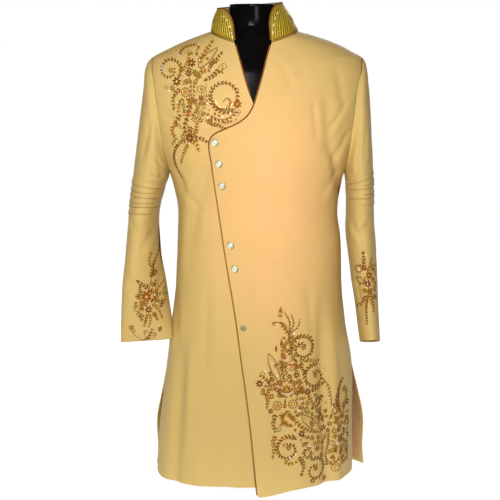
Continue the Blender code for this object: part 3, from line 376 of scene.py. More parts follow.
def cut_of(outer: Array) -> tuple[float, float, float]:
    """The flat cut of a piece of cloth, from the grid of its outer points.

    Args:
        outer: the grid, rows by columns.

    Returns:
        Its width, its length and its area.
    """
    width = float(path_length(outer)[:, -1].max())
    length = float(path_length(outer.transpose(1, 0, 2))[:, -1].max())
    across = np.linalg.norm(np.diff(outer, axis=1), axis=-1)
    up = np.linalg.norm(np.diff(outer, axis=0), axis=-1)
    area = float(np.sum((across[:-1] + across[1:]) / 2 * (up[:, :-1] + up[:, 1:]) / 2))
    return width, length, min(area, width * length)


def twisted_cord(name: str, route: Array, radius: float, pitch: float = 0.0042) -> bpy.types.Object:
    """A two-ply cord along a route: a round tube whose radius falls in a double groove
    that turns once a pitch, closed by a small cap at each end.

    Args:
        name: the piece's name.
        route: the points that it follows.
        radius: its outer radius.
        pitch: the length of one turn of the plies.

    Returns:
        The piece. Its UV map holds the share of a turn round it and the length along it.
    """
    path = evenly(route, 0.0007)
    tangent = unit(np.gradient(path, axis=0))
    side = unit(np.cross(tangent, np.array([0.31, -0.85, 0.42])))
    other = np.cross(tangent, side)
    along = path_length(path)
    turn = np.linspace(0, 2 * math.pi, 10, endpoint=False)
    phase = turn[None, :] - 2 * math.pi * along[:, None] / pitch
    swell = radius * (1 - 0.26 * np.abs(np.cos(phase)) ** 5)
    end = np.minimum(along, along[-1] - along)[:, None] / radius
    swell = swell * np.sqrt(np.clip(1 - (1 - np.clip(end, 0, 1)) ** 2, 0.04, 1))
    ring = (
        path[:, None]
        + side[:, None] * (np.cos(turn)[None, :] * swell)[..., None]
        + other[:, None] * (np.sin(turn)[None, :] * swell)[..., None]
    )
    rows, columns = ring.shape[:2]
    points = np.concatenate([ring.reshape(-1, 3), path[[0, -1]]])
    uv = np.stack(np.broadcast_arrays(phase / (2 * math.pi), along[:, None]), axis=-1).reshape(-1, 2)
    uv = np.concatenate([uv, [[0, 0], [0, along[-1]]]])
    faces = [grid_faces(rows, columns, True), *end_fans(rows, columns)]
    return build_mesh(name, points, faces, uv=uv, sharp=180)


def turned(
    name: str,
    profile: Array,
    place: Array,
    axis: Array,
    around: int = 48,
    bands: Sequence[int] = (),
) -> bpy.types.Object:
    """A turned piece: a profile of radius and height carried round an axis, with its ends
    drawn together on the axis.

    Args:
        name: the piece's name.
        profile: radius and height, from one end to the other.
        place: where the axis starts.
        axis: the direction of the axis.
        around: how many points go round it.
        bands: the rows of faces at which the next material slot starts.

    Returns:
        The piece.
    """
    level_axis = np.array([0.0, 1.0, 0.0]) if abs(axis[1]) < 0.9 else np.array([1.0, 0.0, 0.0])
    across = unit(np.cross(level_axis, axis))
    other = np.cross(axis, across)
    turn = np.linspace(0, 2 * math.pi, around, endpoint=False)
    radius, level = profile[:, 0][:, None], profile[:, 1][:, None]
    points = (
        place + across * (radius * np.cos(turn))[..., None]
        + other * (radius * np.sin(turn))[..., None]
        + axis * np.broadcast_to(level, (len(profile), around))[..., None]
    )
    rows = len(profile)
    faces = [grid_faces(rows, around, True), *end_fans(rows, around)]
    tips = [place + axis * profile[i, 1] for i in (0, -1)]
    band = np.zeros((rows - 1, around), int)
    for row in bands:
        band[row:] += 1
    slots = np.concatenate([band.ravel(), np.zeros(around), np.full(around, len(bands))])
    uv = np.stack(np.broadcast_arrays(turn / (2 * math.pi), level), axis=-1).reshape(-1, 2)
    every = np.concatenate([points.reshape(-1, 3), tips])
    uv = np.concatenate([uv, np.zeros((2, 2))])
    return build_mesh(name, every, faces, uv=uv, slots=slots, sharp=40)


FRONT_SECTIONS = Table(SECTION_COLUMNS, (
    (-0.002, -0.2365, 0.2275, 0.166, -0.004, 3.4, 2.0),
    (0.107, -0.231, 0.2265, 0.162, -0.004, 3.2, 2.0),
    (0.206, -0.220, 0.2255, 0.155, -0.002, 3.0, 2.1),
    (0.278, -0.211, 0.2225, 0.150, 0.0, 2.8, 2.1),
    (0.376, -0.199, 0.206, 0.143, 0.0, 2.6, 2.2),
    (0.472, -0.188, 0.196, 0.134, 0.0, 2.4, 2.3),
    (0.566, -0.183, 0.193, 0.126, 0.0, 2.3, 2.3),
    (0.637, -0.181, 0.184, 0.124, 0.0, 2.3, 2.3),
    (0.683, -0.188, 0.190, 0.127, 0.0, 2.3, 2.3),
    (0.723, -0.199, 0.198, 0.130, 0.0, 2.3, 2.3),
    (0.763, -0.217, 0.213, 0.131, 0.0, 2.3, 2.3),
    (0.808, -0.233, 0.228, 0.130, 0.0, 2.3, 2.3),
    (0.858, -0.246, 0.240, 0.126, 0.0, 2.3, 2.3),
    (0.908, -0.252, 0.246, 0.118, 0.0, 2.25, 2.25),
    (0.948, -0.2495, 0.2465, 0.109, 0.0, 2.2, 2.2),
    (0.975, -0.2400, 0.2390, 0.100, 0.0, 2.1, 2.1),
    (0.9835, -0.2345, 0.2350, 0.096, 0.0, 2.05, 2.05),
    (0.995, -0.214, 0.215, 0.091, 0.0, 2.0, 2.0),
    (1.013, -0.176, 0.179, 0.082, 0.0, 2.0, 2.0),
    (1.031, -0.131, 0.129, 0.073, 0.0, 2.0, 2.0),
    (1.042, -0.101, 0.089, 0.067, 0.0, 2.0, 2.0),
    (1.054, -0.078, 0.066, 0.062, 0.0, 2.0, 2.0),
    (1.073, -0.066, 0.054, 0.061, 0.0, 2.0, 2.0),
    (1.108, -0.065, 0.053, 0.061, 0.0, 2.0, 2.0),
))
# The back's depth and squareness above the vents, where its sides are the front's.
BACK_DEPTHS = (
    (0.147, 2.3), (0.137, 2.4), (0.124, 2.4), (0.112, 2.3), (0.108, 2.3), (0.112, 2.3),
    (0.118, 2.3), (0.122, 2.3), (0.125, 2.3), (0.126, 2.3), (0.122, 2.25), (0.116, 2.2),
    (0.109, 2.1), (0.105, 2.05), (0.101, 2.0), (0.092, 2.0), (0.081, 2.0), (0.074, 2.0),
    (0.066, 2.0), (0.060, 2.0), (0.058, 2.0),
)
BACK_SECTIONS = Table(SECTION_COLUMNS, (
    (-0.002, -0.2644, 0.2819, 0.166, -0.010, 2.0, 2.0),
    (0.107, -0.2511, 0.2671, 0.161, -0.008, 2.0, 2.0),
    (0.206, -0.2245, 0.2405, 0.153, -0.003, 2.1, 2.1),
    *(
        (*front[:3], depth, 0.0, square, square)
        for front, (depth, square) in zip(FRONT_SECTIONS.rows[3:], BACK_DEPTHS)
    ),
))
# The piped edge of the top front, from the hem up the slant, round the S-curve across
# the chest and up the neckline.
TOP_EDGE = Table(EDGE_COLUMNS, (
    (-0.002, 0.003), (0.040, -0.002), (0.135, -0.011), (0.229, -0.022), (0.322, -0.035),
    (0.413, -0.047), (0.544, -0.069), (0.633, -0.082), (0.722, -0.095), (0.765, -0.101),
    (0.783, -0.1035), (0.796, -0.1045), (0.806, -0.1030), (0.815, -0.0980), (0.822, -0.0890),
    (0.830, -0.0720), (0.839, -0.0510), (0.850, -0.0320), (0.862, -0.0190), (0.881, -0.0080),
    (0.907, 0.0005), (0.932, 0.0080), (0.958, 0.0150), (0.983, 0.0210), (1.016, 0.0305),
))
UNDER_EDGE = Table(EDGE_COLUMNS, (
    (-0.002, 0.080), (0.138, 0.068), (0.288, 0.048), (0.488, 0.018), (0.688, -0.002),
    (0.788, 0.008), (0.848, 0.004), (0.881, -0.007), (0.894, -0.012), (0.919, -0.022),
    (0.945, -0.030), (0.971, -0.037), (0.996, -0.0445), (1.016, -0.0500),
))
FRONT_FOLDS = Table(("top_x", "top", "bottom_x", "bottom", "width", "rise"), (
    (-0.106, 0.788, -0.160, 0.548, 0.016, -0.0045),
    (-0.150, 0.748, -0.172, 0.468, 0.012, 0.0030),
    (0.152, 0.918, 0.156, 0.758, 0.013, -0.0035),
    (0.158, 0.818, 0.196, 0.648, 0.011, -0.0050),
    (0.172, 0.973, 0.192, 0.868, 0.010, -0.0025),
    (0.140, 0.488, 0.172, -0.162, 0.015, -0.0090),
    (0.166, 0.448, 0.196, -0.162, 0.012, 0.0050),
    (-0.168, 0.408, -0.200, -0.162, 0.014, -0.0070),
    (0.095, 0.318, 0.104, -0.212, 0.020, 0.0030),
    (-0.130, 0.288, -0.134, -0.212, 0.022, 0.0035),
    (-0.070, 0.228, -0.068, -0.212, 0.018, -0.0025),
))
BACK_FOLDS = Table(FRONT_FOLDS.columns, (
    (-0.090, 0.548, -0.120, -0.162, 0.020, -0.0080),
    (-0.030, 0.468, -0.040, -0.162, 0.022, 0.0060),
    (0.040, 0.508, 0.052, -0.162, 0.018, -0.0070),
    (0.110, 0.548, 0.140, -0.162, 0.020, 0.0070),
    (-0.160, 0.408, -0.190, -0.162, 0.014, 0.0050),
    (0.170, 0.408, 0.205, -0.162, 0.014, -0.0060),
    (-0.130, 0.918, -0.150, 0.728, 0.014, -0.0040),
    (0.130, 0.928, 0.152, 0.728, 0.014, -0.0040),
    (0.060, 0.708, 0.020, 0.578, 0.016, -0.0040),
    (-0.070, 0.718, -0.030, 0.578, 0.016, -0.0035),
))
# Smaller creases, as lines from (x, height) to (x, height).
FRONT_CREASES = Table(CREASE_COLUMNS, (
    (-0.196, 0.905, -0.158, 0.850, 0.0050, -0.0016),
    (-0.205, 0.870, -0.150, 0.800, 0.0065, -0.0018),
    (-0.202, 0.765, -0.150, 0.690, 0.0060, -0.0022),
    (-0.183, 0.720, -0.120, 0.640, 0.0060, -0.0018),
    (-0.176, 0.655, -0.118, 0.610, 0.0050, -0.0012),
    (-0.100, 0.790, -0.128, 0.655, 0.0055, -0.0005),
    (-0.090, 0.740, -0.105, 0.560, 0.0070, 0.0012),
    (0.205, 0.900, 0.150, 0.815, 0.0060, -0.0018),
    (0.208, 0.835, 0.162, 0.745, 0.0060, -0.0022),
    (0.192, 0.745, 0.132, 0.672, 0.0060, -0.0016),
    (0.182, 0.665, 0.120, 0.620, 0.0055, -0.0012),
    (0.120, 0.905, 0.132, 0.790, 0.0070, -0.0016),
    (0.040, 0.600, 0.150, 0.632, 0.0065, -0.0010),
    (-0.045, 0.520, 0.070, 0.536, 0.0060, -0.0009),
    (0.010, 0.412, 0.072, 0.409, 0.0038, -0.0009),
    (0.004, 0.401, 0.060, 0.398, 0.0034, -0.0007),
    (0.110, 0.520, 0.130, 0.300, 0.0090, -0.0018),
    (0.060, 0.380, 0.066, 0.120, 0.0110, -0.0014),
    (0.020, 0.330, 0.022, 0.060, 0.0110, 0.0011),
    (-0.020, 0.560, -0.012, 0.330, 0.0100, 0.0010),
    (-0.110, 0.520, -0.118, 0.250, 0.0100, -0.0018),
    (-0.086, 0.420, -0.092, 0.150, 0.0090, 0.0012),
    (-0.150, 0.360, -0.158, 0.060, 0.0085, 0.0020),
    (-0.185, 0.480, -0.182, 0.300, 0.0065, -0.0016),
    (0.048, 0.980, 0.085, 0.905, 0.0070, -0.0010),
    (-0.062, 0.985, -0.080, 0.900, 0.0070, -0.0008),
    (0.208, 0.220, 0.204, 0.020, 0.0070, 0.0018),
))
BACK_CREASES = Table(CREASE_COLUMNS, (
    (-0.205, 0.900, -0.140, 0.800, 0.0070, -0.0022),
    (0.205, 0.895, 0.145, 0.805, 0.0070, -0.0022),
    (-0.196, 0.800, -0.130, 0.700, 0.0065, -0.0020),
    (0.194, 0.790, 0.120, 0.705, 0.0065, -0.0020),
    (-0.160, 0.660, -0.050, 0.640, 0.0060, -0.0016),
    (0.165, 0.655, 0.060, 0.632, 0.0060, -0.0016),
    (-0.040, 0.650, 0.055, 0.662, 0.0055, -0.0013),
    (-0.020, 0.980, 0.010, 0.860, 0.0090, -0.0014),
    (-0.120, 0.985, -0.085, 0.880, 0.0080, -0.0012),
    (0.115, 0.985, 0.090, 0.885, 0.0080, -0.0012),
    (-0.062, 0.430, -0.066, 0.090, 0.0100, 0.0020),
    (0.004, 0.480, 0.008, 0.110, 0.0110, -0.0020),
    (0.082, 0.440, 0.094, 0.080, 0.0100, 0.0018),
    (0.140, 0.420, 0.158, 0.060, 0.0095, -0.0018),
    (-0.136, 0.450, -0.146, 0.070, 0.0095, -0.0018),
    (-0.110, 0.800, 0.100, 0.780, 0.0090, -0.0010),
))
PANEL_HEIGHTS = np.array([
    HEM_LOW, 0.058, 0.118, 0.178, 0.223, VENT_TOP, 0.313, 0.373, 0.433, 0.493, 0.548, 0.598, 0.643,
    0.688, ARMPIT, 0.7295, 0.743, 0.766, 0.783, 0.795, 0.806, 0.815, 0.823, 0.831, 0.840, 0.850,
    0.863, 0.881, 0.903, 0.928, 0.951, 0.968, 0.978, SHOULDER_END, 0.995, 1.006, NECK_FRONT, 1.026,
    1.035, 1.0412,
])


@dataclass(frozen=True)
class BodyHalf:
    """The front or the back of the plain body, read from horizontal sections: each is a
    superellipse with its own exponent on the left and on the right."""

    table: Table
    facing: int

    def section(self, height: Array) -> dict[str, Array]:
        """Every column of the section table at these heights."""
        return {name: self.table.read(name, height) for name in SECTION_COLUMNS[1:]}

    def point(self, angle: Array, height: Array) -> Array:
        """A point of the body.

        Args:
            angle: 0 is the middle and a quarter turn the side.
            height: how high.

        Returns:
            x = centre + half |sin|^(2/square) and y = edge + depth |cos|^(2/square).
        """
        s = self.section(height)
        sine, cosine = np.sin(angle), np.cos(angle)
        power = 2 / np.where(sine < 0, s["square_left"], s["square_right"])
        centre, half = (s["left"] + s["right"]) / 2, (s["right"] - s["left"]) / 2
        x = centre + half * np.sign(sine) * np.abs(sine) ** power
        y = s["edge_y"] + self.facing * s["depth"] * np.sign(cosine) * np.abs(cosine) ** power
        return np.stack(np.broadcast_arrays(x, y, height), axis=-1)

    def angle_at(self, x: Array, height: Array) -> Array:
        """The angle at which the section passes this x."""
        s = self.section(height)
        centre, half = (s["left"] + s["right"]) / 2, (s["right"] - s["left"]) / 2
        share = np.clip((x - centre) / half, -1, 1)
        square = np.where(share < 0, s["square_left"], s["square_right"])
        return np.arcsin(np.sign(share) * np.abs(share) ** (square / 2))

    def normal(self, angle: Array, height: Array) -> Array:
        """The outward normal, from points a little to each side."""
        turn, rise = 0.01, 0.002
        across = self.point(angle + turn, height) - self.point(angle - turn, height)
        up = self.point(angle, height + rise) - self.point(angle, height - rise)
        return unit(np.cross(across, up) * -self.facing)

    def even_angles(self, start: Array, end: Array, height: Array, shares: Array) -> Array:
        """Angles that part each row at these shares of its length.

        Args:
            start: each row's first angle.
            end: each row's last angle.
            height: each row's height.
            shares: shares of the row's length.

        Returns:
            The angles, rows by shares.
        """
        fine = start[:, None] + (end - start)[:, None] * np.linspace(0, 1, 160)
        along = path_length(self.point(fine, np.repeat(height[:, None], 160, axis=1)))
        return np.array([
            np.interp(shares * row[-1], row, angles) for row, angles in zip(along, fine)
        ])


FRONT_BODY = BodyHalf(FRONT_SECTIONS, -1)
BACK_BODY = BodyHalf(BACK_SECTIONS, 1)


def neck_half_at(height: Array) -> Array:
    """Half the width of the front neckline: it widens as 1 - (1 - share)^1.5."""
    share = np.clip((height - NECK_FRONT) / (NECK_SIDE - NECK_FRONT), 0, 1)
    front_half = 0.0385
    return front_half + (NECK_HALF - front_half) * (1 - (1 - share) ** 1.5)


def side_angle(body: BodyHalf, side: int, height: Array) -> Array:
    """Where a panel ends at its side: at the side or shoulder seam, or at the armhole
    between them, whose depth follows an ellipse."""
    armhole_depth = 0.067
    middle, half = (SHOULDER_END + ARMPIT) / 2, (SHOULDER_END - ARMPIT) / 2
    depth = armhole_depth * np.sqrt(np.clip(1 - ((height - middle) / half) ** 2, 0, 1))
    s = body.section(height)
    square = s["square_left"] if side < 0 else s["square_right"]
    return side * np.arccos(np.clip(depth / s["depth"], 0, 1) ** (square / 2))


def seam_trim(angle: Array, side: int, height: Array) -> Array:
    """The side angle drawn back by half the seam's gap."""
    return angle - side * SEAM_GAP * 0.75 / FRONT_SECTIONS.read("depth", height)


@dataclass(frozen=True)
class Front:
    """A front of the coat, cut from the piped or hidden edge to the side seam and the
    armhole, with its folds, its hem and, for the under front, its drop below the other."""

    node: str
    side: int
    edge: Table
    hem: tuple[float, float, float]
    columns: int = 76
    row_parts: int = 4

    def drop(self, x: Array, height: Array) -> Array:
        """How far the under front lies inside the body: one wall and a gap beneath the
        top front, with soft ramps beside the overlap and below the neckline."""
        if self.side > 0:
            return np.zeros(np.broadcast(x, height).shape)
        overlap, ramp, crossing, crossing_ramp = 0.050, 0.038, 0.923, 0.042
        beside = smooth_step((x - (TOP_EDGE.read("x", height) - overlap)) / ramp)
        return 0.0034 * beside * smooth_step((crossing - height) / crossing_ramp)

    def rise(self, x: Array, height: Array) -> Array:
        """How far folds and creases move the cloth out, less the drop."""
        edge = TOP_EDGE.read("x", height)
        clear = smooth_step(np.abs(x - edge) / 0.016)
        small = creases(FRONT_CREASES, x, height) + UNEVENNESS * uneven(x, height, 0.021)
        return bell_folds(FRONT_FOLDS, x, height) + small * clear - self.drop(x, height)

    def rows(self) -> tuple[Array, Array, Array]:
        """The heights of the rows, and the angles of their first and last points."""
        height = refine(PANEL_HEIGHTS, self.row_parts)
        edge = self.edge.read("x", height)
        if self.side > 0:
            neck = NECK_CENTRE + neck_half_at(height) - TOP_NECK_TRIM
            edge = np.where(height > NECK_FRONT, np.maximum(edge, neck), edge)
        else:
            shoulder_x = -0.1005
            neck = np.maximum(NECK_CENTRE - neck_half_at(height) - UNDER_NECK_TRIM, shoulder_x)
            edge = np.where(height > NECK_FRONT, np.minimum(edge, neck), edge)
        at_edge = FRONT_BODY.angle_at(edge, height)
        at_side = seam_trim(side_angle(FRONT_BODY, self.side, height), self.side, height)
        return (height, at_edge, at_side) if self.side > 0 else (height, at_side, at_edge)

    def lift(self, x: Array, height: Array) -> Array:
        """How much the hem rises from its corner to its side, faded out above the knee."""
        low, middle, end_x = self.hem
        fade = np.clip(1 - (height - HEM_LOW) / 0.3, 0, 1) ** 2
        return (low + (middle - low) * smooth_step(np.abs(x) / end_x)) * fade

    def grids(self) -> tuple[Array, Array]:
        """The grids of outer and inner points: the body's surface moved along its normal
        by the folds, and the same one cloth thickness inside."""
        height, start, end = self.rows()
        shares = np.linspace(0, 1, self.columns)
        angle = FRONT_BODY.even_angles(start, end, height, shares)
        tall = np.repeat(height[:, None], self.columns, axis=1)
        tall = tall + self.lift(FRONT_BODY.point(angle, tall)[..., 0], tall)
        point, normal = FRONT_BODY.point(angle, tall), FRONT_BODY.normal(angle, tall)
        outer = point + normal * self.rise(point[..., 0], tall)[..., None]
        return outer, outer - normal * CLOTH

    def place(self, x: Array, height: Array, lift: Array) -> Array:
        """Points on the cloth.

        Args:
            x: where, seen from the front.
            height: how high.
            lift: how far above the cloth.

        Returns:
            The body's point at that x and height, moved along its normal.
        """
        angle = FRONT_BODY.angle_at(x, height)
        out = self.rise(x, height) + lift
        return FRONT_BODY.point(angle, height) + FRONT_BODY.normal(angle, height) * out[..., None]

    def build(self) -> tuple[bpy.types.Object, Array]:
        """The front as a piece, and its grid of outer points."""
        outer, inner = self.grids()
        return shell(f"panel_{self.node}", outer, inner), outer


@dataclass(frozen=True)
class Back:
    """The back of the coat in one piece, falling open below the side vents."""

    columns: int = 96
    row_parts: int = 3
    hem: float = 0.005

    def rows(self) -> tuple[Array, Array, Array]:
        """The heights of the rows, and the angles of their two ends."""
        low = PANEL_HEIGHTS[PANEL_HEIGHTS < 0.748]
        height = refine(np.concatenate([
            [self.hem, self.hem + 0.011], low[1:],
            [0.778, 0.813, 0.848, 0.883, 0.913, 0.938, 0.958, 0.974, SHOULDER_END, 0.995, 1.008,
             1.020, 1.032, 1.0415, 1.0470, 1.0515],
        ]), self.row_parts)
        open_share = smooth_step((VENT_TOP - height) / (VENT_TOP - self.hem) * 1.1)
        vent = math.pi / 2 - (math.pi / 2 - math.radians(68)) * open_share
        ends = []
        for side in (-1, 1):
            angle = seam_trim(side_angle(BACK_BODY, side, height), side, height)
            angle = np.where(height < VENT_TOP, side * vent, angle)
            neck_share = np.clip((height - NECK_SIDE) / (NECK_BACK - NECK_SIDE), 0, 1)
            reach = NECK_CENTRE + side * NECK_HALF * np.sqrt(1 - neck_share)
            ends.append(np.where(height > NECK_SIDE, BACK_BODY.angle_at(reach, height), angle))
        return height, ends[0], ends[1]

    def grids(self) -> tuple[Array, Array, Array]:
        """The heights, the outer points and the outward normals of the back."""
        height, start, end = self.rows()
        shares = np.linspace(0, 1, self.columns)
        angle = BACK_BODY.even_angles(start, end, height, shares)
        tall = np.repeat(height[:, None], self.columns, axis=1)
        point, normal = BACK_BODY.point(angle, tall), BACK_BODY.normal(angle, tall)
        x = point[..., 0]
        small = creases(BACK_CREASES, x, tall) + 0.0004 * uneven(x, tall, 0.023)
        rise = bell_folds(BACK_FOLDS, x, tall) + small
        return height, point + normal * rise[..., None], normal

    def build(self) -> tuple[bpy.types.Object, Array]:
        """The back as a piece, and its grid of outer points."""
        _, outer, normal = self.grids()
        return shell("panel_back", outer, outer - normal * CLOTH), outer

    def build_vent_lining(self, name: str, side: int) -> tuple[bpy.types.Object, Array]:
        """The lining that shows inside the back where a vent falls open.

        Args:
            name: the piece's name.
            side: -1 for the viewer's left, +1 for the right.

        Returns:
            The piece and its outer points: the back's own grid, a cloth and a gap inside
            it, from the vent's edge inwards.
        """
        height, outer, normal = self.grids()
        edge = self.columns - 1
        first, last = int(round(0.776 * edge)), int(round(0.976 * edge))
        columns = slice(first, last + 1) if side > 0 else slice(edge - last, edge - first + 1)
        rows = slice(self.row_parts, int(np.argmax(height >= VENT_TOP)))
        outer, normal = outer[rows, columns], normal[rows, columns]
        inside = CLOTH + SEAM_GAP
        near = outer - normal * inside
        return shell(name, near, near - normal * LINING), near


SLEEVE_COLUMNS = (
    "outer_x", "outer_z", "inner_x", "inner_z", "centre_y", "half_depth", "pitch", "shear",
)
# Rings of each sleeve from the armhole to the cuff, evenly parted along it.
RIGHT_RINGS = (
    (-0.2345, 0.9835, -0.1998, 0.7230, 0.000, 0.064, 0, 0.0),
    (-0.2455, 0.9740, -0.2003, 0.7215, 0.000, 0.067, 0, 0.0),
    (-0.2530, 0.9520, -0.2007, 0.7200, 0.001, 0.071, 0, 0.0),
    (-0.2565, 0.9160, -0.2012, 0.7180, 0.002, 0.075, 0, 0.0),
    (-0.2620, 0.8760, -0.2018, 0.7155, 0.003, 0.078, 0, 0.0),
    (-0.2680, 0.8330, -0.2025, 0.7125, 0.005, 0.080, 0, 0.0),
    (-0.2740, 0.7900, -0.2035, 0.7090, 0.007, 0.080, 0, 0.0),
    (-0.2800, 0.7480, -0.2055, 0.7045, 0.009, 0.080, 0, 0.0),
    (-0.2850, 0.7130, -0.2090, 0.6960, 0.011, 0.079, 1, 0.0),
    (-0.2890, 0.6840, -0.2140, 0.6780, 0.012, 0.078, 2, 0.0),
    (-0.2925, 0.6540, -0.2215, 0.6530, 0.012, 0.077, 4, 0.1),
    (-0.2955, 0.6240, -0.2265, 0.6240, 0.011, 0.076, 7, 0.2),
    (-0.2975, 0.5930, -0.2280, 0.5930, 0.007, 0.074, 10, 0.3),
    (-0.3010, 0.5530, -0.2260, 0.5530, 0.000, 0.070, 13, 0.4),
    (-0.3040, 0.5130, -0.2190, 0.5130, -0.010, 0.063, 15, 0.5),
    (-0.3080, 0.4680, -0.2105, 0.4680, -0.022, 0.053, 16, 0.5),
    (-0.3100, 0.4240, -0.2030, 0.4220, -0.034, 0.042, 16, 0.4),
    (-0.3115, 0.3800, -0.1955, 0.3800, -0.047, 0.031, 16, 0.25),
    (-0.3120, 0.3400, -0.1895, 0.3450, -0.058, 0.022, 16, 0.1),
)
LEFT_RINGS = (
    (0.2355, 0.9835, 0.1988, 0.7230, 0.000, 0.064, 0, 0.0),
    (0.2425, 0.9750, 0.1995, 0.7215, 0.000, 0.067, 0, 0.0),
    (0.2475, 0.9540, 0.2000, 0.7200, 0.001, 0.071, 0, 0.0),
    (0.2520, 0.9180, 0.2005, 0.7180, 0.002, 0.075, 0, 0.0),
    (0.2555, 0.8780, 0.2010, 0.7155, 0.003, 0.078, 0, 0.0),
    (0.2585, 0.8350, 0.2015, 0.7125, 0.005, 0.080, 0, 0.0),
    (0.2615, 0.7920, 0.2020, 0.7090, 0.007, 0.080, 0, 0.0),
    (0.2645, 0.7530, 0.2025, 0.7050, 0.009, 0.080, 0, 0.0),
    (0.2660, 0.7230, 0.2030, 0.6990, 0.011, 0.079, 1, 0.0),
    (0.2675, 0.6930, 0.2040, 0.6860, 0.012, 0.078, 2, 0.0),
    (0.2685, 0.6620, 0.2055, 0.6600, 0.012, 0.077, 4, 0.0),
    (0.2695, 0.6280, 0.2055, 0.6280, 0.011, 0.076, 7, 0.0),
    (0.2715, 0.5930, 0.2045, 0.5930, 0.007, 0.074, 10, 0.1),
    (0.2750, 0.5530, 0.2085, 0.5530, 0.000, 0.072, 13, 0.1),
    (0.2765, 0.5130, 0.2135, 0.5130, -0.010, 0.070, 15, 0.1),
    (0.2775, 0.4680, 0.2195, 0.4680, -0.022, 0.067, 17, 0.0),
    (0.2785, 0.4240, 0.2265, 0.4240, -0.035, 0.064, 17, 0.0),
    (0.2800, 0.3800, 0.2315, 0.3800, -0.048, 0.061, 17, 0.0),
    (0.2820, 0.3410, 0.2365, 0.3410, -0.060, 0.058, 17, 0.0),
)
# Tucks across each top sleeve: the height of the lip on the outside, and how far it runs
# towards the inner seam.
RIGHT_TUCKS = (
    (0.7015, 1.0), (0.6845, 0.72), (0.6715, 1.0), (0.6565, 0.72), (0.6460, 1.0), (0.6285, 0.72),
)
LEFT_TUCKS = (
    (0.7220, 1.0), (0.7060, 0.5), (0.6950, 1.0), (0.6790, 0.5), (0.6680, 1.0), (0.6520, 0.5),
)
# Smaller creases of the sleeves, as lines from (turn, height) to (turn, height), the turn
# given as metres round a sleeve from its outer side over the front.
RIGHT_CREASES = Table(CREASE_COLUMNS, (
    (0.060, 0.930, 0.045, 0.760, 0.0080, -0.0030),
    (0.110, 0.900, 0.070, 0.800, 0.0060, -0.0022),
    (0.118, 0.780, 0.060, 0.735, 0.0050, -0.0020),
    (0.030, 0.620, 0.085, 0.560, 0.0070, -0.0024),
    (0.120, 0.600, 0.060, 0.520, 0.0070, -0.0020),
    (0.020, 0.520, 0.060, 0.430, 0.0080, -0.0016),
    (0.120, 0.500, 0.085, 0.400, 0.0070, -0.0014),
    (0.075, 0.880, 0.095, 0.740, 0.0080, 0.0016),
    (-0.060, 0.900, -0.070, 0.760, 0.0090, -0.0028),
    (-0.110, 0.700, -0.040, 0.640, 0.0070, -0.0024),
    (-0.040, 0.640, -0.100, 0.560, 0.0070, -0.0024),
    (-0.080, 0.540, -0.070, 0.420, 0.0090, -0.0018),
))
LEFT_CREASES = Table(CREASE_COLUMNS, (
    (0.075, 0.930, 0.082, 0.760, 0.0080, -0.0026),
    (0.125, 0.890, 0.095, 0.800, 0.0060, -0.0020),
    (0.040, 0.880, 0.050, 0.760, 0.0085, 0.0014),
    (0.120, 0.790, 0.075, 0.745, 0.0050, -0.0016),
    (0.035, 0.620, 0.095, 0.565, 0.0070, -0.0024),
    (0.118, 0.620, 0.060, 0.540, 0.0065, -0.0022),
    (0.030, 0.540, 0.070, 0.470, 0.0080, -0.0014),
    (0.110, 0.500, 0.105, 0.390, 0.0070, -0.0014),
    (-0.060, 0.900, -0.070, 0.760, 0.0090, -0.0026),
    (-0.110, 0.690, -0.040, 0.640, 0.0070, -0.0024),
    (-0.040, 0.640, -0.100, 0.560, 0.0070, -0.0024),
    (-0.080, 0.540, -0.070, 0.420, 0.0090, -0.0018),
))


